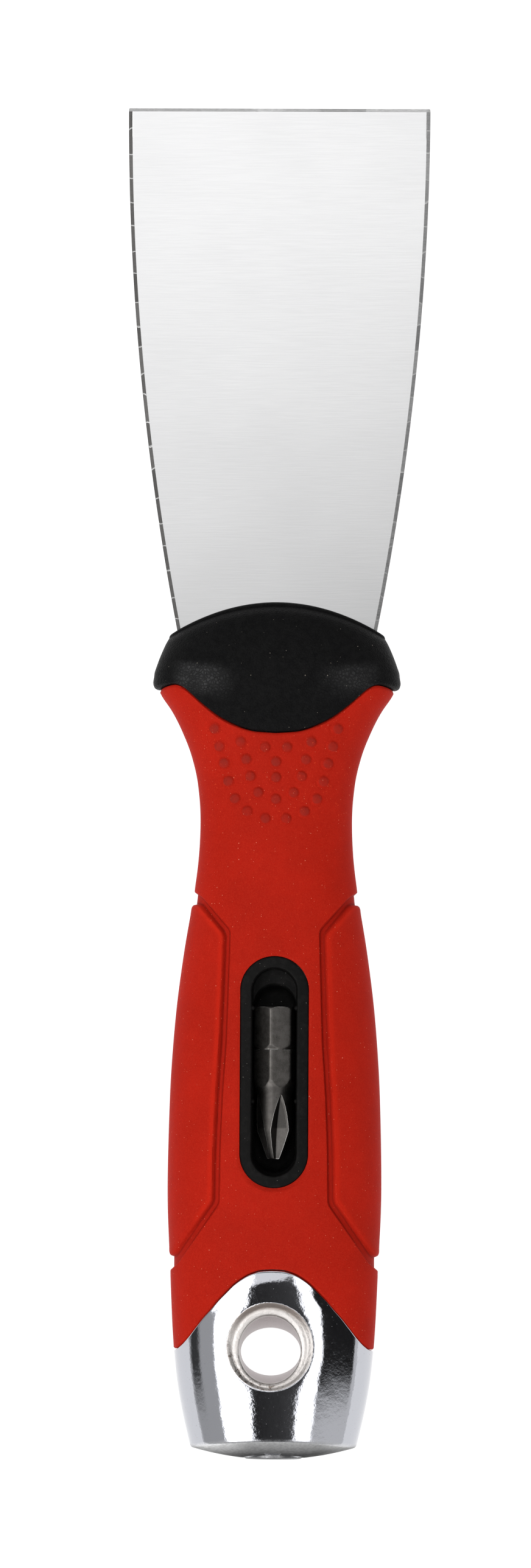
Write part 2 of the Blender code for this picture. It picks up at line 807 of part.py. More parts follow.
def bit_ring(s, radius, hexness, n=24):
    """A section of the bit: from round (hexness 0) to hexagonal (1)."""
    ring = []
    apothem = HEX_AF / 2
    for k in range(n):
        a = 2 * math.pi * k / n
        sector = (a + math.pi / 6) % (math.pi / 3) - math.pi / 6
        flat = apothem / math.cos(sector)
        r = min(radius, flat) if hexness else radius
        turned_a = a + BIT_TURN + math.pi / 2
        ring.append(
            (BIT_X + r * math.cos(turned_a), s, BIT_AXIS_Z + r * math.sin(turned_a))
        )
    return ring


corner = HEX_CORNER_R
bit_rings = [
    bit_ring(bit_low, 0.95, 0),
    bit_ring(bit_low + 0.5, 1.25, 0),
    bit_ring(bit_low + 4.6, 2.85, 0),
    bit_ring(bit_low + 11.2, 2.95, 0),
    bit_ring(bit_low + 12.6, corner, 1),
    bit_ring(bit_low + 17.7, corner, 1),
    bit_ring(bit_low + 18.3, 3.22, 1),
    bit_ring(bit_low + 18.9, corner, 1),
    bit_ring(BIT_TOP_S - 0.5, corner, 1),
    bit_ring(BIT_TOP_S, 3.15, 1),
]
bit = loft(
    "screwdriver_bit",
    bit_rings,
    BIT_STEEL,
    low=(BIT_X, bit_low, BIT_AXIS_Z),
    high=(BIT_X, BIT_TOP_S, BIT_AXIS_Z),
    origin=(BIT_X, BIT_TOP_S - BIT_LENGTH / 2, BIT_AXIS_Z),
)
# four flutes between the wings of the crossed tip
for k in range(4):
    a = BIT_TURN + math.pi / 4 + math.pi / 2 * k + math.radians(14)
    out = Vector((math.cos(a), 0, math.sin(a)))
    flute = turned(
        f"bit_flute_{k + 1}",
        [(0, 8), (1.5, 8), (1.5, -8), (0, -8)],
        (BIT_X + out.x * 1.95, bit_low + 1.0, BIT_AXIS_Z + out.z * 1.95),
        (out.x * 0.2, 1.0, out.z * 0.2),
        12,
    )
    cut(bit, flute)
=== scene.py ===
"""Looks for the painter's multi tool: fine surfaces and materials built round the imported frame.

Inside this file lengths are in millimetres, as in the model:
  s  along the tool from the mouth of the bit socket (0) to the scraping edge (LENGTH)
  x  across the tool, z through it from the blade's middle plane, + to the front face
They become metres, in the frame's own axes, when a mesh is made.
"""

import math

import bmesh
import bpy
import numpy as np
from mathutils import Matrix, Vector


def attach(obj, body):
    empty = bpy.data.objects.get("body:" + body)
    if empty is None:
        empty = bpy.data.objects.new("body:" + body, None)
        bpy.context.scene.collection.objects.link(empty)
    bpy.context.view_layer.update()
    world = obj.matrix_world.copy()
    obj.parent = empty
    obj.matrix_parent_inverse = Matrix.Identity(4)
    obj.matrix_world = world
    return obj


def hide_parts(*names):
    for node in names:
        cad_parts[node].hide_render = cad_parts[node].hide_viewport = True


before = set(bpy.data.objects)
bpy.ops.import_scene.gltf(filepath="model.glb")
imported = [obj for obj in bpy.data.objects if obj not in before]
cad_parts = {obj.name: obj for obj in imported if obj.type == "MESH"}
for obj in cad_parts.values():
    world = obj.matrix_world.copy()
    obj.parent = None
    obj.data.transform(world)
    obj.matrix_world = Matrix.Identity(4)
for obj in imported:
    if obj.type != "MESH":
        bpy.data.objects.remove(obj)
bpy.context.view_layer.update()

# ------------------------------------------------------------------ sizes, mm
LENGTH = 225.0
Z_MID = 11.7
BLADE_WIDTH = 50.2
BLADE_THICK = 1.5
EDGE_THICK = 0.8
BLADE_SWEEP = 0.00112
SHOULDER_S = 134.1
TAPER_S = 145.5
TANG_END_S = 32.4
TANG_HALF = 5.8

SEAM = 0.07
WALL = 2.25

HOLE_S, HOLE_X = 19.1, -0.5
HOLE_OUTER = (7.25, 7.35)
HOLE_FOOT_S = 18.6
HOLE_FOOT = (5.15, 5.6)
HOLE_WAIST_S = 18.2
HOLE_WAIST = (4.95, 3.95)
ARCH_X = -0.12
APEX_S = 0.35

BIT_LENGTH = 25.0
BIT_TOP_S = 75.1
BIT_Z = 6.2
BIT_TURN = math.radians(10.0)

TRAY_LOW, TRAY_HIGH, TRAY_HALF = 45.3, 83.5, 5.6

OUTLINE = [
    (2.4, 13.75, 9.7, 2.35),
    (8.6, 15.2, 10.35, 2.35),
    (14.7, 16.2, 10.85, 2.35),
    (22.0, 16.8, 11.25, 2.35),
    (31.0, 17.2, 11.55, 2.35),
    (45.0, 17.75, 11.7, 2.35),
    (60.0, 17.45, 11.6, 2.35),
    (72.6, 16.65, 11.1, 2.3),
    (84.8, 15.15, 10.2, 2.25),
    (94.0, 13.6, 9.4, 2.2),
    (101.0, 12.75, 8.85, 2.2),
    (106.5, 12.55, 8.7, 2.2),
    (112.2, 13.0, 8.85, 2.2),
    (116.8, 14.05, 9.3, 2.25),
    (121.3, 15.8, 10.1, 2.3),
    (124.4, 17.4, 10.6, 2.35),
    (127.4, 19.45, 11.05, 2.4),
    (129.5, 20.35, 11.4, 2.45),
    (131.6, 20.4, 11.68, 2.5),
    (132.4, 20.3, 11.7, 2.5),
    (134.0, 20.0, 11.42, 2.5),
    (136.5, 19.5, 10.75, 2.55),
    (138.6, 19.0, 9.8, 2.55),
    (140.2, 18.55, 8.5, 2.6),
    (141.2, 18.2, 6.8, 2.6),
    (141.7, 17.95, 5.3, 2.6),
]
NOSE_S = OUTLINE[-1][0]
NOSE_ARCH_R = 31.0


# ------------------------------------------------------------------ curves
def pchip(points, at):
    """Cubic through points (t, value), with no overshoot, straight beyond its ends."""
    p = np.array(points, float)
    t, v = p[:, 0], p[:, 1]
    at = np.asarray(at, float)
    d = np.diff(v) / np.diff(t)
    m = np.zeros(len(t))
    m[0], m[-1] = d[0], d[-1]
    same = d[:-1] * d[1:] > 0
    m[1:-1][same] = 2 * d[:-1][same] * d[1:][same] / (d[:-1][same] + d[1:][same])
    k = np.clip(np.searchsorted(t, at) - 1, 0, len(t) - 2)
    h = (t[1:] - t[:-1])[k]
    u = np.clip((at - t[k]) / h, 0, 1)
    out = (
        (2 * u**3 - 3 * u**2 + 1) * v[k]
        + (u**3 - 2 * u**2 + u) * h * m[k]
        + (-2 * u**3 + 3 * u**2) * v[k + 1]
        + (u**3 - u**2) * h * m[k + 1]
    )
    out = out + np.where(at < t[0], (at - t[0]) * m[0], 0)
    return out + np.where(at > t[-1], (at - t[-1]) * m[-1], 0)


def blurred(values, sigma):
    half = int(4 * sigma) + 1
    kernel = np.exp(-0.5 * (np.arange(-half, half + 1) / sigma) ** 2)
    padded = np.pad(values, half, mode="reflect", reflect_type="odd")
    return np.convolve(padded, kernel / kernel.sum(), mode="valid")


DS = 0.02
TABLE_S = np.arange(-3.0, 146.0, DS)


def profile(column):
    raw = pchip([(r[0], r[column]) for r in OUTLINE], TABLE_S)
    soft, crisp = blurred(raw, 1.8 / DS), blurred(raw, 0.35 / DS)
    w = np.clip((TABLE_S - 106) / 14, 0, 1)
    w = w * w * (3 - 2 * w)
    return soft * (1 - w) + crisp * w


TABLES = {c: profile(c) for c in (1, 2, 3)}


def outline(s, column):
    return np.interp(s, TABLE_S, TABLES[column])


def smooth01(t):
    t = np.clip(t, 0, 1)
    return t * t * (3 - 2 * t)


def bow(s):
    return 0.5 / NOSE_ARCH_R * np.clip((s - 128.5) / (NOSE_S - 128.5), 0, 1) ** 1.25


def shape(turn, s, inset=0.0):
    """(x, s, z) of the handle's surface at section angle turn and station s."""
    w = outline(s, 1) - inset - 0.2 * PANEL_SPAN(s)
    h = outline(s, 2) - inset - 0.2 * PANEL_SPAN(s)
    p = 2 / outline(s, 3)
    c, d = np.cos(turn), np.sin(turn)
    x = w * np.sign(c) * np.abs(c) ** p
    z = h * np.sign(d) * np.abs(d) ** p
    return np.stack([x, s - bow(s) * x * x, z], -1)


def PANEL_SPAN(s):
    return smooth01((s - 30) / 6) * smooth01((96 - s) / 6)


CAP_LINE = [
    (0, 31.8), (1.8, 31.7), (3, 31.4), (3.95, 31.05), (5.15, 30.35), (6.4, 29.43), (7.7, 28.15),
    (8.95, 26.85), (10.25, 25.25), (11.45, 23.9), (12.75, 22.25), (14.0, 20.65), (15.2, 19.35),
    (16.2, 18.65), (18, 18.3),
]  # fmt: skip
BOLSTER_LINE = [
    (0, 120.45), (3, 120.65), (5.35, 121.15), (7.15, 121.85), (9.4, 123.0), (11.3, 124.4),
    (12.8, 125.65), (14.3, 127.0), (15.6, 128.0), (17.0, 128.45), (18.6, 128.15), (20.2, 127.4),
    (22, 126.3),
]  # fmt: skip


def cap_line(x):
    return pchip(CAP_LINE, np.abs(x - ARCH_X))


def bolster_line(x):
    return pchip(BOLSTER_LINE, np.abs(x))


def solve_seam(turn, line, shift, first):
    """Station at which each section angle meets a seam drawn on the front view."""
    s = np.full_like(turn, first)
    for _ in range(60):
        p = shape(turn, s)
        s = s + 0.6 * (line(p[:, 0]) + shift - p[:, 1])
    return s


def spread(zones, low, high):
    """Stations from low to high, with each (low, high, step) zone's own step and 'rest' elsewhere."""
    fine = np.linspace(low, high, 20001)
    step = np.full_like(fine, zones["rest"])
    for a, b, d in zones["zones"]:
        near = smooth01((fine - a) / 2 + 1) * smooth01((b - fine) / 2 + 1)
        step = np.minimum(step, zones["rest"] + (d - zones["rest"]) * near)
    total = np.concatenate([[0], np.cumsum((fine[1] - fine[0]) / step[:-1])])
    count = int(round(total[-1]))
    return np.interp(np.linspace(0, total[-1], count + 1), total, fine)


def angles(spacing_front, spacing_back, fine=()):
    """Section angles round the handle, with about these distances between points."""
    t = np.linspace(-math.pi / 2, 3 * math.pi / 2, 40001)
    p = shape(t, np.full_like(t, 60.0))
    x, z = p[:, 0], p[:, 2]
    length = np.hypot(np.diff(x), np.diff(z))
    mid_x, mid_z = (x[1:] + x[:-1]) / 2, (z[1:] + z[:-1]) / 2
    front = smooth01(mid_z / 3 + 0.5)
    step = spacing_back + (spacing_front - spacing_back) * front
    for a, b, d in fine:
        near = smooth01((np.abs(mid_x) - a) / 1 + 1) * smooth01((b - np.abs(mid_x)) / 1 + 1)
        step = np.minimum(step, step + (d * step / spacing_front - step) * near)
    total = np.concatenate([[0], np.cumsum(length / step)])
    count = int(round(total[-1] / 4)) * 4
    return np.interp(np.arange(count) * total[-1] / count, total, t)


# ------------------------------------------------------------------ meshes
def to_object(name, points, faces, smooth_angle=40, attributes=None):
    """points in mm (x, s, z); faces as a list of index arrays of equal width."""
    points = np.asarray(points, float).reshape(-1, 3)
    world = np.stack(
        [points[:, 0], points[:, 1] - LENGTH / 2, points[:, 2] + Z_MID], -1
    ) * 0.001
    mesh = bpy.data.meshes.new(name)
    mesh.vertices.add(len(world))
    mesh.vertices.foreach_set("co", world.astype(np.float32).ravel())
    loops = np.concatenate([np.asarray(f, np.int32).ravel() for f in faces if len(f)])
    sizes = np.concatenate(
        [np.full(len(f), np.asarray(f).shape[1], np.int32) for f in faces if len(f)]
    )
    mesh.loops.add(len(loops))
    mesh.loops.foreach_set("vertex_index", loops)
    mesh.polygons.add(len(sizes))
    mesh.polygons.foreach_set(
        "loop_start", np.concatenate([[0], np.cumsum(sizes)[:-1]]).astype(np.int32)
    )
    mesh.update(calc_edges=True)
    mesh.validate()
    for key, values in (attributes or {}).items():
        layer = mesh.attributes.new(key, "FLOAT", "POINT")
        layer.data.foreach_set("value", np.asarray(values, np.float32).ravel())
    bm = bmesh.new()
    bm.from_mesh(mesh)
    bmesh.ops.remove_doubles(bm, verts=bm.verts, dist=2e-7)
    bmesh.ops.recalc_face_normals(bm, faces=bm.faces)
    bm.to_mesh(mesh)
    bm.free()
    mesh.shade_smooth()
    mesh.set_sharp_from_angle(angle=math.radians(smooth_angle))
    obj = bpy.data.objects.new(name, mesh)
    bpy.context.scene.collection.objects.link(obj)
    return obj


def grid_faces(rows, columns, close_u=True, close_v=False, first=0):
    r = np.arange(rows if close_v else rows - 1)
    c = np.arange(columns if close_u else columns - 1)
    R, C = np.meshgrid(r, c, indexing="ij")
    R2, C2 = (R + 1) % rows, (C + 1) % columns
    return (
        np.stack([R * columns + C, R * columns + C2, R2 * columns + C2, R2 * columns + C], -1)
        .reshape(-1, 4)
        + first
    )


def ladder(columns, first):
    """Closes a ring whose points mirror each other, by quads across it from front to back."""
    k = np.arange(columns // 2)
    a, b = first + k, first + (k + 1) % columns
    c, d = first + (columns - k - 1) % columns, first + (columns - k) % columns
    return np.stack([a, b, c, d], -1)


def normals_of(grid):
    """Outward normals of a grid (rows along the tool, columns round it)."""
    du = np.roll(grid, -1, 1) - np.roll(grid, 1, 1)
    dv = np.gradient(grid, axis=0)
    n = np.cross(dv, du)
    n /= np.linalg.norm(n, axis=-1, keepdims=True) + 1e-12
    centre = grid.mean(axis=1, keepdims=True)
    flip = np.sign(((grid - centre) * n).sum(-1, keepdims=True).mean())
    return n * (flip if flip else 1)


def boolean(obj, tool, how="DIFFERENCE"):
    """Applies one closed mesh to another."""
    made = obj.modifiers.new("boolean", "BOOLEAN")
    made.operation = how
    made.object = tool
    made.solver = "MANIFOLD"
    bpy.context.view_layer.update()
    graph = bpy.context.evaluated_depsgraph_get()
    before = len(obj.data.polygons)
    mesh = bpy.data.meshes.new_from_object(obj.evaluated_get(graph))
    obj.modifiers.clear()
    old = obj.data
    obj.data = mesh
    mesh.name = old.name
    bpy.data.meshes.remove(old)
    bpy.data.objects.remove(tool)
    print(f"{obj.name}: {how.lower()} {before} -> {len(mesh.polygons)} faces")
    return obj


def merged(obj, distance):
    """Joins points that a cut left almost on top of each other."""
    bm = bmesh.new()
    bm.from_mesh(obj.data)
    bmesh.ops.remove_doubles(bm, verts=bm.verts, dist=distance)
    bm.to_mesh(obj.data)
    bm.free()
    return obj


def resharpen(obj, angle):
    obj.data.shade_smooth()
    obj.data.set_sharp_from_angle(angle=math.radians(angle))
    return obj


def polyline_distance(x, s, points):
    """Distance to a polyline, with a sign: + on its left side, walking from first to last."""
    best = np.full(x.shape, 1e9)
    sign = np.ones(x.shape)
    for (x0, s0), (x1, s1) in zip(points, points[1:]):
        dx, ds = x1 - x0, s1 - s0
        span = dx * dx + ds * ds
        t = np.clip(((x - x0) * dx + (s - s0) * ds) / span, 0, 1)
        d = np.hypot(x - x0 - t * dx, s - s0 - t * ds)
        side = np.sign(dx * (s - s0) - ds * (x - x0))
        closer = d < best - 1e-9
        best = np.where(closer, d, best)
        sign = np.where(closer, side, sign)
    return best * np.where(sign == 0, 1, sign)


def rounded_path(points, radius, steps=7):
    """A polyline with its corners rounded."""
    out = [points[0]]
    for a, b, c in zip(points, points[1:], points[2:]):
        a, b, c = (np.array(p, float) for p in (a, b, c))
        u, v = (a - b) / np.linalg.norm(a - b), (c - b) / np.linalg.norm(c - b)
        r = min(radius, 0.45 * np.linalg.norm(a - b), 0.45 * np.linalg.norm(c - b))
        p0, p1 = b + u * r, b + v * r
        for k in range(steps + 1):
            t = k / steps
            out.append(tuple((1 - t) ** 2 * p0 + 2 * t * (1 - t) * b + t * t * p1))
    out.append(points[-1])
    return [tuple(p) for p in out]


def stadium(half, low, high, count):
    """count points round a slot with round ends, evenly spaced, from its +x side."""
    straight = max(1e-6, high - low - 2 * half)
    total = 2 * straight + 2 * math.pi * half
    d = (np.arange(count) / count * total + straight / 2) % total
    x, s = np.zeros(count), np.zeros(count)
    mid = (low + high) / 2
    for k, v in enumerate(d):
        if v < straight:
            x[k], s[k] = half, mid - straight / 2 + v
        elif v < straight + math.pi * half:
            a = (v - straight) / half
            x[k], s[k] = half * math.cos(a), mid + straight / 2 + half * math.sin(a)
        elif v < 2 * straight + math.pi * half:
            x[k], s[k] = -half, mid + straight / 2 - (v - straight - math.pi * half)
        else:
            a = math.pi + (v - 2 * straight - math.pi * half) / half
            x[k], s[k] = half * math.cos(a), mid - straight / 2 + half * math.sin(a)
    return x, s


def stack(name, rings, low=None, high=None, smooth_angle=40, attributes=None):
    """Skins rings (each columns x 3) and closes the ends with fans to low and high."""
    rings = [np.asarray(r, float) for r in rings]
    n = len(rings[0])
    points = np.concatenate(rings)
    faces = [grid_faces(len(rings), n)]
    extra = []
    k = np.arange(n)
    for centre, base in ((low, 0), (high, (len(rings) - 1) * n)):
        if centre is None:
            centre = points[base : base + n].mean(0)
        tip = len(points) + len(extra)
        extra.append(centre)
        faces.append(np.stack([base + k, base + (k + 1) % n, np.full(n, tip)], -1))
    points = np.concatenate([points, np.array(extra)])
    if attributes:
        attributes = {
            key: np.concatenate([np.asarray(v, float).ravel(), np.zeros(2)])
            for key, v in attributes.items()
        }
    return to_object(name, points, faces, smooth_angle, attributes)


def plate(name, x, s, low, high):
    """A prism through z on an outline of (x, s), for cutting."""
    ring = lambda z: np.stack([x, s, np.full(len(x), z)], -1)
    return stack(name, [ring(low), ring(high)])


def lathe(name, profile, centre, axis, count=96, smooth_angle=30):
    """A turned piece: (radius, distance along axis) rows about an axis through centre."""
    a = np.arange(count) * 2 * math.pi / count
    axis = Vector(axis).normalized()
    side = axis.orthogonal().normalized()
    other = axis.cross(side)
    side, other, axis, centre = (np.array(v) for v in (side, other, axis, Vector(centre)))
    rings = [
        centre + axis * d + r * (np.outer(np.cos(a), side) + np.outer(np.sin(a), other))
        for r, d in profile
        if r > 1e-6
    ]
    ends = [centre + axis * profile[0][1], centre + axis * profile[-1][1]]
    return stack(name, rings, ends[0], ends[1], smooth_angle)


# ------------------------------------------------------------------ material helpers
class Nodes:
    """Short ways to make a node tree."""

    def __init__(self, name):
        self.material = bpy.data.materials.new(name)
        self.material.use_nodes = True
        self.tree = self.material.node_tree
        self.shader = self.tree.nodes["Principled BSDF"]
        self.coords = self.tree.nodes.new("ShaderNodeTexCoord").outputs["Object"]

    def link(self, a, b):
        self.tree.links.new(a, b)

    def set(self, **values):
        for key, value in values.items():
            socket = self.shader.inputs[key.replace("_", " ")]
            if isinstance(value, bpy.types.NodeSocket):
                self.link(value, socket)
            elif isinstance(value, (tuple, list)) and len(value) == 3:
                socket.default_value = (*value, 1.0)
            else:
                socket.default_value = value

    def make(self, kind, inputs=None, **properties):
        node = self.tree.nodes.new(kind)
        for key, value in properties.items():
            setattr(node, key, value)
        for key, value in (inputs or {}).items():
            socket = node.inputs[key]
            if isinstance(value, bpy.types.NodeSocket):
                self.link(value, socket)
            else:
                socket.default_value = value
        return node

    def scaled(self, x, y=None, z=None):
        """Object coordinates in units of 1/x metres: a scale of 1000 gives millimetres."""
        y, z = y or x, z or x
        return self.make(
            "ShaderNodeMapping", {"Vector": self.coords, "Scale": (x, y, z)}
        ).outputs["Vector"]

    def noise(self, per_mm, detail=2.0, rough=0.5, stretch=(1, 1, 1), seed=0.0):
        v = self.scaled(*(1000 * k for k in stretch))
        return self.make(
            "ShaderNodeTexNoise",
            {"Vector": v, "W": seed, "Scale": per_mm, "Detail": detail, "Roughness": rough},
            noise_dimensions="4D",
        ).outputs["Fac"]

    def voronoi(self, per_mm, feature="F1", output="Distance", seed=0.0, smoothness=0.3):
        inputs = {"Vector": self.scaled(1000), "Scale": per_mm}
        dims = "3D"
        node = self.make("ShaderNodeTexVoronoi", inputs, feature=feature, voronoi_dimensions=dims)
        if feature == "SMOOTH_F1":
            node.inputs["Smoothness"].default_value = smoothness
        return node.outputs[output]

    def math(self, how, a, b=0.0, c=0.0, clamp=False):
        node = self.tree.nodes.new("ShaderNodeMath")
        node.operation = how
        node.use_clamp = clamp
        for socket, value in zip(node.inputs, (a, b, c)):
            if isinstance(value, bpy.types.NodeSocket):
                self.link(value, socket)
            else:
                socket.default_value = value
        return node.outputs[0]

    def ramp(self, value, low, high, a=0.0, b=1.0, smooth=True):
        return self.make(
            "ShaderNodeMapRange",
            {"Value": value, "From Min": low, "From Max": high, "To Min": a, "To Max": b},
            interpolation_type="SMOOTHSTEP" if smooth else "LINEAR",
        ).outputs["Result"]

    def mix(self, factor, a, b):
        node = self.tree.nodes.new("ShaderNodeMix")
        node.data_type = "RGBA"
        for key, value in ((0, factor), (6, a), (7, b)):
            if isinstance(value, bpy.types.NodeSocket):
                self.link(value, node.inputs[key])
            elif isinstance(value, (tuple, list)):
                node.inputs[key].default_value = (*value[:3], 1.0)
            else:
                node.inputs[key].default_value = value
        return node.outputs[2]

    def attribute(self, name):
        return self.make("ShaderNodeAttribute", attribute_name=name).outputs["Fac"]

    def bump(self, layers):
        """layers of (height, distance in mm); each rides on the one before."""
        normal = None
        for height, distance in layers:
            inputs = {"Height": height, "Distance": distance * 0.001, "Strength": 1.0}
            if normal is not None:
                inputs["Normal"] = normal
            normal = self.make("ShaderNodeBump", inputs).outputs["Normal"]
        return normal

    def axis(self, letter):
        """One object coordinate, in metres."""
        split = self.make("ShaderNodeSeparateXYZ", {"Vector": self.coords})
        return split.outputs[letter]


def specks(n, per_mm, share, size, seed):
    """Small scattered dust: 1 inside a few randomly chosen cells, else 0."""
    v = n.make(
        "ShaderNodeVectorMath",
        {0: n.scaled(1000), 1: (seed, seed * 0.37, seed * 1.7)},
        operation="ADD",
    ).outputs[0]
    cell = n.make("ShaderNodeTexVoronoi", {"Vector": v, "Scale": per_mm}, feature="F1")
    pick = n.make("ShaderNodeSeparateColor", {"Color": cell.outputs["Color"]})
    chosen = n.math("LESS_THAN", pick.outputs[0], share)
    reach = n.math("MULTIPLY", pick.outputs[1], size)
    inside = n.math("LESS_THAN", cell.outputs["Distance"], reach)
    return n.math("MULTIPLY", chosen, inside)


def red_grip():
    n = Nodes("red_soft_grip_fine")
    broad = n.noise(0.09, 3.0, 0.55, seed=3.1)
    cloud = n.noise(0.45, 3.0, 0.6, seed=1.4)
    grain = n.noise(5.5, 2.0, 0.6, seed=7.7)
    fine = n.noise(11.0, 1.0, 0.5, seed=2.2)
    colour = n.mix(n.ramp(broad, 0.3, 0.7), (0.41, 0.0125, 0.0050), (0.47, 0.0145, 0.0060))
    colour = n.mix(n.ramp(cloud, 0.35, 0.75, 0.0, 0.35), colour, (0.36, 0.0125, 0.0055))
    colour = n.mix(n.ramp(grain, 0.3, 0.8, 0.0, 0.3), colour, (0.62, 0.04, 0.02))
    colour = n.mix(n.ramp(fine, 0.6, 0.3, 0.0, 0.3), colour, (0.27, 0.008, 0.004))
    # the thumb dots are rubbed dull on top; the groove floors are darker, painted shade in the recess, mottled by the
    # grain
    dot = n.attribute("dot_top")
    colour = n.mix(n.math("MULTIPLY", dot, n.ramp(cloud, 0.25, 0.7, 0.2, 0.6)), colour, (0.20, 0.026, 0.02))
    floor = n.attribute("groove_floor_shade")
    colour = n.mix(n.math("MULTIPLY", floor, n.ramp(grain, 0.3, 0.7, 0.1, 0.4)), colour, (0.28, 0.010, 0.006))
    # painted highlight along the panel's edge
    colour = n.mix(n.math("MULTIPLY", n.attribute("panel_edge_highlight"), 0.5), colour, (0.60, 0.020, 0.007))
    # painted shade in the corners of the grooves
    crease_shade = n.attribute("crease_shade")
    colour = n.mix(n.math("MULTIPLY", crease_shade, 0.6), colour, (0.085, 0.004, 0.003))
    dust = n.math("ADD", specks(n, 2.3, 0.28, 0.16, 11.0), specks(n, 1.1, 0.14, 0.10, 57.0), clamp=True)
    colour = n.mix(n.math("MULTIPLY", dust, 0.5), colour, (0.90, 0.33, 0.21))
    # orange flecks where the skin is roughened, most round the thumb dots
    worn = n.ramp(n.math("ABSOLUTE", n.math("SUBTRACT", n.axis("Y"), 0.0025)), 0.003, 0.014, 0.5, 0.16)
    near = n.math("ADD", worn, n.ramp(broad, 0.45, 0.65, 0.0, 0.1))
    fleck = n.ramp(n.noise(3.4, 2.0, 0.75, seed=19.0), 0.64, 0.72)
    colour = n.mix(n.math("MULTIPLY", fleck, near), colour, (0.86, 0.10, 0.035))
    n.set(
        Base_Color=colour,
        Roughness=n.ramp(grain, 0.3, 0.75, 0.5, 0.64),
        Specular_IOR_Level=0.02,
        Sheen_Weight=0.01,
        Sheen_Roughness=0.4,
        Normal=n.bump([(cloud, 0.03), (grain, 0.035), (fine, 0.014), (dust, 0.03)]),
    )
    n.shader.inputs["Sheen Tint"].default_value = (1.0, 0.45, 0.55, 1.0)
    return n.material


def black_grain():
    n = Nodes("black_soft_grip_fine")
    warp = n.noise(1.1, 2.0, 0.5, seed=4.0)
    cells = n.make(
        "ShaderNodeTexVoronoi",
        {
            "Vector": n.make(
                "ShaderNodeVectorMath",
                {
                    0: n.scaled(1000),
                    1: n.make(
                        "ShaderNodeVectorMath",
                        {
                            0: n.make(
                                "ShaderNodeTexNoise",
                                {"Vector": n.scaled(1000), "Scale": 1.6, "Detail": 2.0},
                            ).outputs["Color"],
                            1: (0.55, 0.55, 0.55),
                        },
                        operation="MULTIPLY",
                    ).outputs[0],
                },
                operation="ADD",
            ).outputs[0],
            "Scale": 1.9,
        },
        feature="DISTANCE_TO_EDGE",
    ).outputs["Distance"]
    pebble = n.ramp(cells, 0.0, 0.24)
    fine = n.noise(7.0, 3.0, 0.6, seed=9.0)
    colour = n.mix(n.ramp(warp, 0.3, 0.7), (0.0068, 0.0068, 0.0070), (0.0092, 0.0092, 0.0093))
    colour = n.mix(n.ramp(fine, 0.55, 0.85, 0, 0.4), colour, (0.026, 0.026, 0.026))
    # painted highlight below the crest at both sides, where the thumb and finger push, on a rubbed patch that is also
    # glossier
    side = n.math("ABSOLUTE", n.axis("X"))
    # the painted highlight is weaker at the right side
    right = n.ramp(n.axis("X"), -0.002, 0.002, 1.0, 0.55)
    over = n.math("ADD", n.axis("Y"), n.math("MULTIPLY", side, -0.10))
    rub_gloss_and_highlight = n.math("MULTIPLY", n.ramp(side, 0.0055, 0.0135), n.ramp(side, 0.0145, 0.0178, 1.0, 0.0))
    rub_gloss_and_highlight = n.math("MULTIPLY", rub_gloss_and_highlight, n.ramp(over, 0.0120, 0.0158))
    rub_gloss_and_highlight = n.math("MULTIPLY", rub_gloss_and_highlight, n.ramp(over, 0.0170, 0.0188, 1.0, 0.0))
    rub_gloss_and_highlight = n.math("MULTIPLY", rub_gloss_and_highlight, right)
    rub_gloss_and_highlight = n.math("MULTIPLY", rub_gloss_and_highlight, n.ramp(n.noise(0.35, 2.0, 0.5, seed=21.0), 0.3, 0.65, 0.55, 1.0))
    # the painted highlight sits on the tops of the pebble grain
    tops = n.math("MULTIPLY", n.ramp(cells, 0.03, 0.3, 0.3, 0.95), n.ramp(fine, 0.3, 0.6, 0.55, 1.0))
    colour = n.mix(n.math("MULTIPLY", rub_gloss_and_highlight, tops), colour, (0.062, 0.062, 0.063))
    dust = n.math("ADD", specks(n, 1.9, 0.13, 0.16, 31.0), specks(n, 0.9, 0.12, 0.1, 71.0), clamp=True)
    colour = n.mix(n.math("MULTIPLY", dust, 0.6), colour, (0.40, 0.36, 0.30))
    n.set(
        Base_Color=colour,
        Roughness=n.ramp(fine, 0.3, 0.75, 0.34, 0.46),
        Specular_IOR_Level=n.math("ADD", n.math("MULTIPLY", rub_gloss_and_highlight, 0.07), 0.014),
        Normal=n.bump([(pebble, 0.06), (fine, 0.03), (dust, 0.02)]),
    )
    return n.material


def tray_black():
    n = Nodes("tray_plastic_fine")
    scuff = n.noise(0.9, 4.0, 0.65, seed=12.0)
    fine = n.noise(8.0, 3.0, 0.65, seed=5.0)
    colour = n.mix(n.ramp(scuff, 0.45, 0.75), (0.0062, 0.0060, 0.0058), (0.0115, 0.0109, 0.0106))
    dust = n.math("ADD", specks(n, 2.6, 0.14, 0.18, 19.0), specks(n, 1.3, 0.09, 0.1, 43.0), clamp=True)
    colour = n.mix(n.math("MULTIPLY", dust, 0.55), colour, (0.32, 0.30, 0.27))
    n.set(
        Base_Color=colour,
        Roughness=n.ramp(fine, 0.3, 0.75, 0.42, 0.62),
        Specular_IOR_Level=0.055,
        Normal=n.bump([(scuff, 0.06), (fine, 0.03), (dust, 0.03)]),
    )
    return n.material


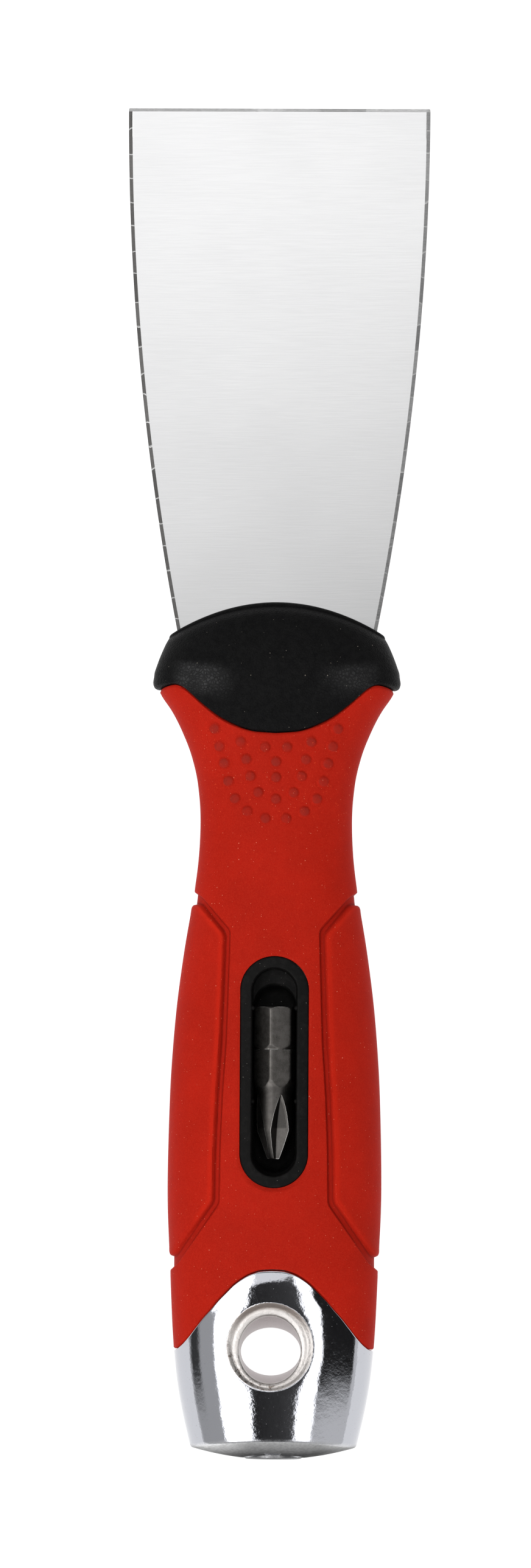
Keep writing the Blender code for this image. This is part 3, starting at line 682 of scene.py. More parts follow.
def chrome():
    n = Nodes("chrome_cap_fine")
    orange = n.noise(0.33, 3.0, 0.55, seed=6.0)
    ripple = n.noise(2.4, 2.0, 0.6, seed=16.0)
    haze = n.noise(2.4, 3.0, 0.6, seed=26.0)
    pits = n.noise(2.1, 4.0, 0.7, seed=36.0)
    X = n.math("MULTIPLY", n.axis("X"), 1000.0)
    S = n.math("ADD", n.math("MULTIPLY", n.axis("Y"), 1000.0), LENGTH / 2)
    Z = n.math("SUBTRACT", n.math("MULTIPLY", n.axis("Z"), 1000.0), Z_MID)

    def oval(x, s, axes):
        """1 on an ellipse round the hole's axis, less inside."""
        a = n.math("DIVIDE", n.math("SUBTRACT", X, x), axes[0])
        b = n.math("DIVIDE", n.math("SUBTRACT", S, s), axes[1])
        return n.math("SQRT", n.math("ADD", n.math("MULTIPLY", a, a), n.math("MULTIPLY", b, b)))

    wobble = n.math("MULTIPLY", n.math("SUBTRACT", pits, 0.5), 0.05)
    outer = n.math("ADD", oval(HOLE_X, HOLE_S, HOLE_OUTER), wobble)
    foot = oval(HOLE_X, HOLE_FOOT_S, HOLE_FOOT)
    ring = n.ramp(outer, 0.975, 1.005, 1.0, 0.0)
    bore = n.ramp(foot, 0.965, 0.995, 1.0, 0.0)
    # the outer bevel of the seat is darker and browner, most at its upper side and in blotches low at the left
    bevel = n.math("MULTIPLY", ring, n.ramp(outer, 0.80, 0.90))
    high_side = n.ramp(n.math("SUBTRACT", S, HOLE_S), 1.0, 6.0, 0.12, 0.85)
    low_left = n.math(
        "MULTIPLY",
        n.ramp(n.math("ADD", S, n.math("MULTIPLY", X, 0.8)), HOLE_S - 7.5, HOLE_S - 3.5, 1.0, 0.0),
        n.ramp(pits, 0.5, 0.62),
    )
    bevel_dark = n.math("MULTIPLY", bevel, n.math("MAXIMUM", high_side, low_left))
    # strike face: darker ground steel with a painted reflection, bright at the rim and towards both sides, darker
    # towards the socket
    face = n.attribute("strike")
    radius = n.math("SQRT", n.math("ADD", n.math("MULTIPLY", X, n.math("MULTIPLY", X, 0.5)), n.math("MULTIPLY", Z, Z)))
    shade = n.ramp(radius, 3.6, 9.6, 0.07, 0.36, smooth=False)
    shade = n.math("MULTIPLY", shade, n.ramp(haze, 0.3, 0.7, 0.85, 1.15))
    # painted reflection: brighter towards both sides, starting nearer the middle at the left
    out = n.math("ABSOLUTE", n.math("SUBTRACT", X, 2.0))
    shade = n.math("MULTIPLY", shade, n.ramp(out, 6.0, 13.0, 1.0, 2.5, smooth=False))
    face_tone_and_reflection = n.make("ShaderNodeCombineColor", {0: shade, 1: shade, 2: shade}).outputs[0]
    satin = n.math("MAXIMUM", ring, n.math("MULTIPLY", face, 0.9))
    colour = n.mix(ring, (0.50, 0.508, 0.545), (0.62, 0.59, 0.57))
    colour = n.mix(bevel_dark, colour, (0.17, 0.135, 0.115))
    colour = n.mix(n.math("MULTIPLY", ring, n.ramp(pits, 0.62, 0.78)), colour, (0.26, 0.235, 0.215))
    colour = n.mix(bore, colour, (0.66, 0.61, 0.61))
    colour = n.mix(n.math("MULTIPLY", face, 0.95), colour, face_tone_and_reflection)
    # dust and fine handling marks on the plating
    mark = n.ramp(n.noise(1.5, 4.0, 0.72, seed=46.0), 0.60, 0.68)
    clear = n.math("ADD", n.ramp(haze, 0.3, 0.8, 0.055, 0.095), n.math("MULTIPLY", mark, 0.07))
    rough = n.math("ADD", clear, n.math("MULTIPLY", satin, 0.27))
    rough = n.math("ADD", rough, n.math("MULTIPLY", bore, 0.12))
    colour = n.mix(n.math("MULTIPLY", mark, 0.22), colour, (0.30, 0.29, 0.29))
    dust = n.math("ADD", specks(n, 2.6, 0.20, 0.2, 83.0), specks(n, 1.4, 0.12, 0.12, 97.0), clamp=True)
    dust = n.math("MULTIPLY", dust, n.ramp(mark, 0.0, 1.0, 0.35, 0.8))
    colour = n.mix(dust, colour, (0.22, 0.20, 0.185))
    n.set(
        Base_Color=colour,
        Metallic=n.math("SUBTRACT", 1.0, dust),
        Roughness=rough,
        Specular_Tint=n.mix(face, (1.0, 1.0, 1.0), (0.2, 0.2, 0.2)),
        Normal=n.bump(
            [
                (orange, 0.034),
                (ripple, 0.009),
                (n.math("MULTIPLY", ring, pits), 0.12),
            ]
        ),
    )
    return n.material


def blade_steel():
    n = Nodes("blade_steel_fine")
    brush = n.noise(3.0, 3.0, 0.6, stretch=(0.06, 1.6, 1.0), seed=8.0)
    broad = n.noise(0.05, 2.0, 0.5, seed=18.0)
    colour = n.mix(n.ramp(broad, 0.3, 0.7), (0.815, 0.815, 0.82), (0.85, 0.85, 0.855))
    colour = n.mix(n.ramp(brush, 0.3, 0.7, 0.0, 0.05), colour, (0.72, 0.72, 0.73))
    n.set(
        Base_Color=colour,
        Metallic=1.0,
        Roughness=n.ramp(brush, 0.3, 0.7, 0.115, 0.13),
        Normal=n.bump([(brush, 0.0006)]),
    )
    return n.material


def blade_edge(name, left, right, along):
    """The ground edges, with fine cross lines and the small steps that grinding leaves. The colours given for the left
    and the right side are painted light and shade.
    """
    n = Nodes(name)
    lines = n.noise(4.5, 3.0, 0.7, stretch=(0.25, 1.0, 0.25), seed=2.0)
    blot = n.noise(0.35, 2.0, 0.5, seed=5.0)
    # left and right sides get their own colour: painted light and shade
    side = n.ramp(n.axis("X"), -0.002, 0.002)
    colour = n.mix(side, left, right)
    # one step every few millimetres, each ground a little differently
    place = n.math("MULTIPLY", n.axis("Y" if along else "X"), 1000.0 / (4.1 if along else 8.7))
    warped = n.math("ADD", place, n.math("MULTIPLY", blot, 0.8))
    step = n.make("ShaderNodeTexWhiteNoise", {"W": n.math("FLOOR", warped)}, noise_dimensions="1D")
    shade = n.ramp(step.outputs["Value"], 0.0, 1.0, 0.78, 1.25, smooth=False)
    within = n.math("FRACT", warped)
    joint = n.ramp(within, 0.0, 0.07, 1.0, 0.0)
    shade = n.math("MULTIPLY", shade, n.ramp(lines, 0.3, 0.7, 0.85, 1.15))
    scale = n.make("ShaderNodeVectorMath", {0: colour}, operation="SCALE")
    n.link(shade, scale.inputs["Scale"])
    colour = n.mix(n.math("MULTIPLY", joint, 0.8), scale.outputs[0], (0.62, 0.62, 0.62))
    n.set(
        Base_Color=colour,
        Metallic=1.0,
        Roughness=n.ramp(lines, 0.3, 0.7, 0.4, 0.55),
        Normal=n.bump([(lines, 0.03)]),
    )
    return n.material


def bit_steel():
    n = Nodes("bit_steel_fine")
    grain = n.noise(7.0, 3.0, 0.65, seed=13.0)
    blot = n.noise(0.9, 3.0, 0.6, seed=23.0)
    soft = n.make("ShaderNodeBevel", {"Radius": 0.00014}, samples=8).outputs["Normal"]
    plain = n.make("ShaderNodeNewGeometry").outputs["Normal"]
    agree = n.make("ShaderNodeVectorMath", {0: soft, 1: plain}, operation="DOT_PRODUCT").outputs["Value"]
    worn = n.ramp(agree, 0.985, 0.93, 0.0, 1.0)
    worn = n.math("MULTIPLY", worn, n.ramp(grain, 0.25, 0.6, 0.35, 1.0))
    colour = n.mix(n.ramp(blot, 0.3, 0.7), (0.085, 0.079, 0.074), (0.135, 0.127, 0.119))
    colour = n.mix(n.ramp(grain, 0.45, 0.8, 0, 0.5), colour, (0.24, 0.225, 0.21))
    across = n.math("SUBTRACT", n.math("MULTIPLY", n.axis("Z"), 1000.0), Z_MID + BIT_Z)
    X = n.math("MULTIPLY", n.axis("X"), 1000.0)
    radius = n.math("SQRT", n.math("ADD", n.math("MULTIPLY", X, X), n.math("MULTIPLY", across, across)))
    S = n.math("ADD", n.math("MULTIPLY", n.axis("Y"), 1000.0), LENGTH / 2)
    # darker in the flutes, as painted shade, and towards the tip and along the neck
    flute = n.math("MULTIPLY", n.ramp(radius, 2.5, 2.78, 1.0, 0.0), n.ramp(S, 54.6, 55.4))
    tip = n.ramp(S, 54.6, 55.4, 0.45, 0.0)
    neck = n.ramp(S, 61.6, 62.6, 0.5, 0.0)
    dark = n.math("MAXIMUM", n.math("MULTIPLY", n.math("MAXIMUM", flute, tip), 0.9), neck)
    colour = n.mix(dark, colour, (0.036, 0.034, 0.032))
    colour = n.mix(worn, colour, (0.52, 0.51, 0.49))
    spots = specks(n, 1.8, 0.09, 0.2, 3.0)
    colour = n.mix(n.math("MULTIPLY", spots, 0.8), colour, (0.03, 0.027, 0.025))
    n.set(
        Base_Color=colour,
        Metallic=1.0,
        Roughness=n.ramp(grain, 0.3, 0.7, 0.34, 0.5),
        Normal=n.bump([(blot, 0.02), (grain, 0.018)]),
    )
    return n.material


def plain_steel(name, colour, rough):
    n = Nodes(name)
    rings = n.noise(4.0, 3.0, 0.6, seed=15.0)
    base = n.mix(n.ramp(rings, 0.3, 0.7), colour, tuple(0.8 * c for c in colour))
    n.set(
        Base_Color=base,
        Metallic=1.0,
        Roughness=n.ramp(rings, 0.3, 0.7, rough, rough + 0.12),
        Normal=n.bump([(rings, 0.01)]),
    )
    return n.material


def core_plastic():
    n = Nodes("core_plastic_fine")
    grain = n.noise(3.0, 3.0, 0.6, seed=25.0)
    flow = n.noise(0.2, 2.0, 0.5, stretch=(1, 0.3, 1), seed=35.0)
    base = n.mix(n.ramp(flow, 0.3, 0.7), (0.018, 0.018, 0.02), (0.026, 0.026, 0.028))
    n.set(
        Base_Color=base,
        Roughness=n.ramp(grain, 0.3, 0.7, 0.4, 0.52),
        Normal=n.bump([(grain, 0.01)]),
    )
    return n.material


RED = red_grip()
BLACK = black_grain()
TRAY = tray_black()
CHROME = chrome()
STEEL = blade_steel()
# side bevels: dark painted shade, darkest at the left
SHADED_EDGE = blade_edge("blade_edge_painted_shade", (0.096, 0.093, 0.091), (0.30, 0.30, 0.30), 1)
# scraping edge: painted light, lighter at the left than the right
TIP = blade_edge("blade_tip_fine", (0.69, 0.69, 0.69), (0.56, 0.56, 0.56), 0)
BIT = bit_steel()
SLEEVE = plain_steel("socket_sleeve_fine", (0.26, 0.26, 0.265), 0.34)
PIN = plain_steel("pin_steel_fine", (0.55, 0.55, 0.56), 0.3)
MAGNET = plain_steel("magnet_fine", (0.62, 0.62, 0.65), 0.18)
CORE = core_plastic()


def dress(obj, *materials):
    obj.data.materials.clear()
    for m in materials:
        obj.data.materials.append(m)
    return obj


# ------------------------------------------------------------------ red grip
PANEL_EDGE = rounded_path(
    [
        (-30, 92.9), (-12.6, 92.5), (-8.2, 87.35), (-8.5, 77.7), (-8.8, 69.5), (-9.35, 60.4),
        (-9.75, 51.3), (-9.85, 43.0), (-16.7, 33.7), (-30, 33.3),
    ],
    0.9,
)  # fmt: skip
CENTRE_EDGE = rounded_path(
    [
        (-30, 97.0), (-14.6, 94.7), (-12.5, 93.3), (-7.6, 87.8), (-7.9, 77.7), (-8.15, 69.5),
        (-8.75, 60.4), (-9.1, 51.3), (-9.2, 42.7), (-16.0, 33.1), (-18, 31.4), (-30, 31.0),
    ],
    0.7,
)  # fmt: skip
GROOVE_DEPTH, PANEL_RAISE = 0.62, 0.24

DOTS = [(0.0, 109.8), (0.0, 116.0), (0.0, 113.4)] + [
    (side * x, s)
    for side in (-1, 1)
    for x, s in [
        (10.1, 121.5), (9.3, 118.6), (8.5, 115.8), (7.8, 112.8), (6.7, 109.9),
        (4.7, 107.8), (1.7, 106.6), (5.8, 119.3), (4.9, 116.4), (4.2, 113.6),
        (2.9, 110.9), (1.8, 118.4),
    ]
]  # fmt: skip
DOT_R, DOT_HIGH = 0.93, 0.42


def grip_relief(p):
    """(height, groove floor darkened as painted shade, dot top, painted shade in the groove corners, painted highlight
    on the panel edge) at points of the plain grip.
    """
    x, s, z = p[..., 0], p[..., 1], p[..., 2]
    left = -np.abs(x)
    panel = -polyline_distance(left, s, PANEL_EDGE)
    centre = polyline_distance(left, s, CENTRE_EDGE)
    rise = smooth01((panel + 0.06) / 0.46)
    wall = smooth01((centre + 0.04) / 0.42)
    # the panel's edge stands a little proud of the panel itself
    crest = PANEL_RAISE * (0.8 + 0.2 * np.exp(-(((panel - 0.5) / 0.55) ** 2)))
    panel_h = -GROOVE_DEPTH + (GROOVE_DEPTH + crest) * rise
    # its corners are rounded over where they meet the sides
    outer_side = smooth01((np.abs(x) - 11.8) / 2.2)
    rounded = 0.85 * outer_side * eased(np.clip(panel, 0, None), 1.2)
    panel_h = np.maximum(panel_h - rounded, -GROOVE_DEPTH)
    centre_h = -GROOVE_DEPTH + GROOVE_DEPTH * wall
    height = np.maximum(panel_h, centre_h)
    # the groove floor, where the material paints shade
    floor = (1 - rise) * (1 - wall)
    # painted shade darkens the corners at both sides of the floor
    crease_shade = 0.75 * np.exp(-(((panel - 0.02) / 0.11) ** 2)) * (centre < 0.6)
    crease_shade = np.maximum(crease_shade, 0.6 * np.exp(-((centre / 0.10) ** 2)) * (panel < 0.6))
    crease_shade = crease_shade * (height < PANEL_RAISE)
    # painted highlight just inside the panel's edge, on the front only
    panel_edge_highlight = np.exp(-(((panel - 0.7) / 0.4) ** 2)) * (1 - outer_side) * (z > 0)
    # dots
    dot_top = np.zeros_like(height)
    front = z > 0
    for dx, ds in DOTS:
        r = np.hypot(x - dx, s - ds + 0.28)
        near = front & (r < 2.0)
        q = r[near] / DOT_R
        dome = np.where(q < 1, np.sqrt(np.clip(1 - q**2, 0, 1)) ** 0.9, 0)
        moat = -0.06 * np.exp(-(((q - 1.16) / 0.16) ** 2))
        height[near] += DOT_HIGH * dome * smooth01((1 - q) / 0.18) + moat
        dot_top[near] = np.maximum(dot_top[near], smooth01((0.95 - q) / 0.3))
    # the surface eases down to the tray, most at its lower end
    half = TRAY_HALF
    mid_s = np.clip(s, TRAY_LOW + half, TRAY_HIGH - half)
    tray = np.hypot(x, s - mid_s) - half
    lower = smooth01((TRAY_LOW + 9 - s) / 9)
    ease = (0.12 + 0.22 * lower) * (1 - smooth01((tray - 0.05) / (0.45 + 0.35 * lower)))
    height = height - np.where(front, ease, 0)
    return height, floor, dot_top, crease_shade, panel_edge_highlight


def eased(edge_distance, radius):
    """How far an edge of this radius has fallen away at a distance in from it."""
    q = np.clip(1 - edge_distance / radius, 0, 1)
    return radius * (1 - np.sqrt(np.clip(1 - q * q, 0, 1)))


def build_grip():
    turn = angles(0.2, 0.46, fine=[(8.0, 16.8, 0.15)])
    n = len(turn)
    low = solve_seam(turn, cap_line, SEAM, 25.0)
    high = solve_seam(turn, bolster_line, -SEAM, 125.0)
    rows = spread(
        {
            "rest": 0.45,
            "zones": [(31, 44.5, 0.15), (86, 95.5, 0.15), (104.5, 122, 0.19), (17, 21, 0.24), (122, 130, 0.24)],
        },
        17.9,
        128.45,
    )
    f_low = smooth01(1 - (rows - rows[0]) / 30)
    f_high = smooth01(1 - (rows[-1] - rows) / 22)
    stations = (
        rows[:, None]
        + (low - rows[0])[None, :] * f_low[:, None]
        + (high - rows[-1])[None, :] * f_high[:, None]
    )
    T = np.broadcast_to(turn, stations.shape)
    base = shape(T, stations)
    normal = normals_of(base)
    height, floor, dot_top, crease_shade, panel_edge_highlight = grip_relief(base)
    # rounded lips at both seams, measured along the tool
    to_low = stations - low[None, :]
    to_high = high[None, :] - stations
    drop = eased(to_low, 0.2) + eased(to_high, 0.28) + 0.10 * np.exp(-to_high / 0.9)
    outer = base + normal * (height - drop)[..., None]
    # walls down to the inside, and the inside itself
    inner_rows = np.linspace(0, 1, 60)
    inner_s = low[None, :] + (high - low)[None, :] * inner_rows[:, None]
    inner = shape(np.broadcast_to(turn, inner_s.shape), inner_s, WALL)
    inner[..., 1] = shape(np.broadcast_to(turn, inner_s.shape), inner_s)[..., 1]
    grid = np.concatenate([outer, inner[::-1]])
    zeros = np.zeros(inner.shape[:2])
    obj = to_object(
        "grip",
        grid.reshape(-1, 3),
        [grid_faces(len(grid), n, close_v=True)],
        50,
        {
            "groove_floor_shade": np.concatenate([floor, zeros]),
            "dot_top": np.concatenate([dot_top, zeros]),
            "crease_shade": np.concatenate([crease_shade, zeros]),
            "panel_edge_highlight": np.concatenate([panel_edge_highlight, zeros]),
        },
    )
    x, s = stadium(TRAY_HALF + 0.08, TRAY_LOW - 0.08, TRAY_HIGH + 0.08, 240)
    boolean(obj, plate("window", x, s, 1.5, 20))
    return dress(resharpen(obj, 50), RED)


# ------------------------------------------------------------------ bolster
def build_bolster():
    turn = angles(0.24, 0.34)
    n = len(turn)
    low = solve_seam(turn, bolster_line, SEAM, 125.0)
    rows = spread(
        {"rest": 0.3, "zones": [(121, 131, 0.22), (139, 142.4, 0.12)]}, 128.45, NOSE_S
    )
    f_low = 1 - (rows - rows[0]) / (rows[-1] - rows[0])
    stations = rows[:, None] + (low - rows[0])[None, :] * (f_low**1.5)[:, None]
    # more rows where the front tongue stretches them
    fine = np.linspace(0, 1, 130)
    index = fine * (len(rows) - 1)
    k = np.clip(index.astype(int), 0, len(rows) - 2)
    t = (index - k)[:, None]
    stations = stations[k] * (1 - t) + stations[k + 1] * t
    T = np.broadcast_to(turn, stations.shape)
    base = shape(T, stations)
    normal = normals_of(base)
    to_low = stations - low[None, :]
    drop = eased(to_low, 0.45)
    outer = base - normal * drop[..., None]
    # it stands a little proud of the grip, most at the sides
    proud = 0.1 + 0.28 * smooth01((np.abs(base[..., 0]) - 14.5) / 4)
    outer += normal * (proud * smooth01(to_low / 0.8) * smooth01((131.5 - stations) / 3.5))[..., None]
    # nose: rolls over to the slot
    last = outer[-1]
    nose = []
    for a in np.linspace(0, 1, 9)[1:]:
        roll = math.radians(90 * a)
        inset = 1.5 * (1 - math.cos(roll))
        ahead = 0.75 * math.sin(roll)
        ring = last.copy()
        scale_z = 1 - inset / 5.2
        ring[:, 0] *= 1 - inset * 0.35 / 16.5
        ring[:, 2] *= scale_z
        ring[:, 1] = last[:, 1] + ahead
        nose.append(ring)
    inner_s = np.stack([low, low + (133.5 - low) * 0.5, np.full(n, 133.5)])
    grid = np.concatenate([outer, np.stack(nose)])
    count = len(grid)
    foot = shape(turn, low, WALL)
    foot[:, 1] = outer[0][:, 1]
    pocket = shape(turn, np.full(n, 129.0), WALL)
    pocket_end = pocket.copy()
    pocket_end[:, 1] = 133.4
    pocket[:, 1] = np.maximum(foot[:, 1], 129.3)
    inside = np.stack([foot, pocket, pocket_end])
    points = np.concatenate([grid.reshape(-1, 3), inside.reshape(-1, 3)])
    first = count * n
    faces = [
        grid_faces(count, n),
        zipper(grid[-1][:, 0], (count - 1) * n),
        grid_faces(3, n, first=first),
        zipper(pocket_end[:, 0], first + 2 * n),
    ]
    k = np.arange(n)
    faces.append(
        np.stack([k, (k + 1) % n, first + (k + 1) % n, first + k], -1)
    )
    obj = to_object("hilt", points, faces, 50)
    s = np.array([130, SHOULDER_S - 0.9, SHOULDER_S - 0.4, 147, 147, SHOULDER_S - 0.4, SHOULDER_S - 0.9, 130])
    x = np.array([-12.9, -12.9, -16.7, -18.0, 18.0, 16.7, 12.9, 12.9])
    boolean(obj, plate("slot", x, s, -BLADE_THICK / 2 - 0.06, BLADE_THICK / 2 + 0.06))
    return dress(resharpen(obj, 50), BLACK)


def zipper(x, first):
    """Closes a ring with a ruled wall whose lines run from its front half to its back half."""
    n = len(x)
    right, left = int(np.argmax(x)), int(np.argmin(x))
    front = [right]
    while front[-1] != left:
        front.append((front[-1] + 1) % n)
    back = [right]
    while back[-1] != left:
        back.append((back[-1] - 1) % n)
    i = j = 0
    out = []
    while i < len(front) - 1 or j < len(back) - 1:
        if j == len(back) - 1 or (i < len(front) - 1 and x[front[i + 1]] >= x[back[j + 1]]):
            out.append((front[i], front[i + 1], back[j]))
            i += 1
        else:
            out.append((front[i], back[j + 1], back[j]))
            j += 1
    tri = np.array([f for f in out if len(set(f)) == 3])
    return tri + first


# ------------------------------------------------------------------ bit tray
def skin_z(x, s):
    """Height of the plain front surface at (x, s)."""
    n = outline(s, 3)
    w = outline(s, 1) - 0.2 * PANEL_SPAN(s)
    h = outline(s, 2) - 0.2 * PANEL_SPAN(s)
    return h * (1 - np.clip(np.abs(x) / w, 0, 1) ** n) ** (1 / n)


def build_tray():
    count = 260

    def ring(inset, z, low_extra=0.0, high_extra=0.0):
        x, s = stadium(
            TRAY_HALF - inset, TRAY_LOW + inset + low_extra, TRAY_HIGH - inset - high_extra, count
        )
        z = z(x, s) if callable(z) else np.full(count, float(z))
        return np.stack([x, s, z], -1)

    top = lambda lift: (lambda x, s: skin_z(x, s) + lift)
    rings = [ring(0.25, 1.3), ring(0.0, 1.6), ring(0.0, 6.0)]
    for k in range(7):
        a = math.radians(15 * k)
        rings.append(ring(0.32 * (1 - math.cos(a)), top(-0.24 + 0.32 * math.sin(a))))
    for t in (0.3, 0.55, 0.8):
        rings.append(ring(0.32 + 1.25 * t, top(0.08 + 0.02 * math.sin(math.pi * t))))
    for k in range(7):
        a = math.radians(15 * k)
        rings.append(ring(1.57 + 0.28 * math.sin(a), top(0.08 - 0.28 * (1 - math.cos(a)))))
    rings += [
        ring(1.88, top(-1.0)),
        ring(1.92, 8.2, 0.1),
        ring(1.95, 6.9, 0.2, 0.0),
        ring(2.05, 6.6, 0.22, 0.1),
        ring(2.05, 6.5, 0.3, 2.3),
        ring(2.10, 6.2, 0.34, 2.5),
        ring(2.14, 4.0, 0.5, 2.7),
        ring(2.2, 2.9, 0.6, 2.8),
        ring(2.35, 2.5, 0.8, 3.0),
        ring(2.7, 2.3, 1.1, 3.4),
        ring(3.6, 2.3, 2.0, 4.2),
        ring(4.8, 2.3, 3.0, 5.0),
    ]
    obj = stack("tray", rings, (0, 64.4, 1.3), (0, 64.0, 2.3), 45)
    for sign, s in ((-1, 75.0), (1, 75.0), (-1, 59.6), (1, 59.6)):
        nub = lathe(
            "nub",
            [(0, 10.4), (0.22, 10.36), (0.36, 10.2), (0.42, 9.9), (0.42, 3.0), (0, 3.0)],
            (sign * (TRAY_HALF - 1.9), s, 0),
            (0, 0, 1),
            24,
        )
        boolean(obj, nub, "UNION")
    return dress(resharpen(obj, 45), TRAY)


# ------------------------------------------------------------------ screwdriver bit
def build_bit():
    low = BIT_TOP_S - BIT_LENGTH
    count = 192
    a = np.arange(count) * 2 * math.pi / count
    # hexagon with softly rounded corners, one corner leaning left of straight up
    flat = 6.35 / 2
    sector = (a + math.pi / 6) % (math.pi / 3) - math.pi / 6
    sharp = flat / np.cos(sector)
    hex_r = -np.log(np.exp(-sharp * 22) + np.exp(-3.60 * 22)) / 22
    angle = a + math.pi / 2 + BIT_TURN + math.pi / 6

    def ring(s, radius):
        r = np.minimum(hex_r, radius)
        return np.stack([r * np.cos(angle), np.full(count, s), BIT_Z + r * np.sin(angle)], -1)

    profile = []  # (s above the tip, turned radius)
    for t, r in [(0.0, 1.02), (0.06, 1.12), (0.12, 1.16)]:
        profile.append((t, r))
    for t in np.linspace(0.12, 4.6, 32)[1:]:
        profile.append((t, 1.16 + (2.84 - 1.16) * (t - 0.12) / 4.48))
    for t in np.linspace(4.7, 10.7, 40):
        profile.append((t, 2.86 + 0.04 * smooth01((t - 4.6) / 1.0)))
    for t in np.linspace(10.8, 13.8, 44):
        profile.append((t, 2.9 + 0.283 * (t - 10.8)))
    for t in np.linspace(14.1, 17.8, 16):
        profile.append((t, 4.2))
    # detent: steep towards the tip, sloped towards the drive end
    for t, r in [(17.98, 3.7), (18.0, 3.55), (18.04, 3.3), (18.1, 3.18), (18.2, 3.19), (18.35, 3.27), (18.5, 3.36), (18.65, 3.45), (18.8, 3.54), (18.95, 3.63), (19.02, 3.7)]:
        profile.append((t, r))
    for t in np.linspace(19.2, 24.5, 20):
        profile.append((t, 4.2))
    for t, r in [(24.62, 3.66), (24.75, 3.6), (24.9, 3.5), (25.02, 3.38), (25.12, 3.22), (25.2, 3.0)]:
        profile.append((t, r))
    rings = [ring(low + t, r) for t, r in profile]
    obj = stack("driver_bit", rings, (0, low, BIT_Z), (0, BIT_TOP_S, BIT_Z), 28)
    # four flutes, each the mark of a round cutter that runs out of the neck
    for k in range(4):
        out = math.radians(67) + k * math.pi / 2
        e_r = np.array([math.cos(out), 0, math.sin(out)])
        e_t = np.array([-math.sin(out), 0, math.cos(out)])
        sections = []
        for t in np.linspace(-1.2, 13.0, 64):
            floor = 0.7 + max(0.0, t - 0.3) ** 2 / 48.5
            pts = []
            # rounded V, wider near the tip
            spread_angle = math.radians(50)
            depth = 4.0
            fillet = 0.16
            side = []
            for q in (0.0, 0.25, 0.5, 0.75, 1.0):
                b = q * (math.pi / 2 - spread_angle)
                side.append((fillet * math.sin(b), fillet * (1 - math.cos(b))))
            w0, h0 = side[-1]
            side.append((w0 + depth * math.tan(spread_angle), h0 + depth))
            whole = [(-w, h) for w, h in side[::-1]] + side[1:]
            for w, h in whole:
                pts.append(e_r * (floor + h) + e_t * w)
            sections.append(np.array(pts) + np.array([0, low + t, BIT_Z]))
        boolean(obj, stack("flute", sections, smooth_angle=20))
    return dress(resharpen(obj, 24), BIT)


# ------------------------------------------------------------------ hammer cap
def cap_relief(p):
    """How far the cap's skin dips round the hang hole, and 1 on its satin rim."""
    x, s, z = p[..., 0], p[..., 1], p[..., 2]
    a = np.arctan2(s - HOLE_S, x - HOLE_X)
    r = np.hypot(x - HOLE_X, s - HOLE_S)

    def ellipse(axes):
        return 1 / np.sqrt((np.cos(a) / axes[0]) ** 2 + (np.sin(a) / axes[1]) ** 2)

    outer = ellipse(HOLE_OUTER)
    inward = outer - r
    fx, fs = (x - HOLE_X) / HOLE_FOOT[0], (s - HOLE_FOOT_S) / HOLE_FOOT[1]
    beyond = (np.hypot(fx, fs) - 1) * 5.3
    width = np.clip(inward, 0, None) + np.clip(beyond, 0, None) + 1e-6
    t = np.clip(inward / width, 0, 1)
    # a bevel, then a nearly level seat, then the rounded mouth of the bore
    step = 0.50 * smooth01(t / 0.52) + 0.16 * t + eased(np.clip(beyond, 0, None), 0.45)
    step -= 0.08 * np.exp(-(((t - 0.62) / 0.13) ** 2))
    dish = 0.14 * np.exp(-np.clip(-inward, 0, None) / 1.2) * (0.35 + 0.65 * np.abs(np.cos(a)))
    near = np.abs(z) > 2.5
    ring = smooth01((inward + 0.1) / 0.35)
    return np.where(near, dish + np.where(inward > 0, step, 0), 0), np.where(near, ring, 0)


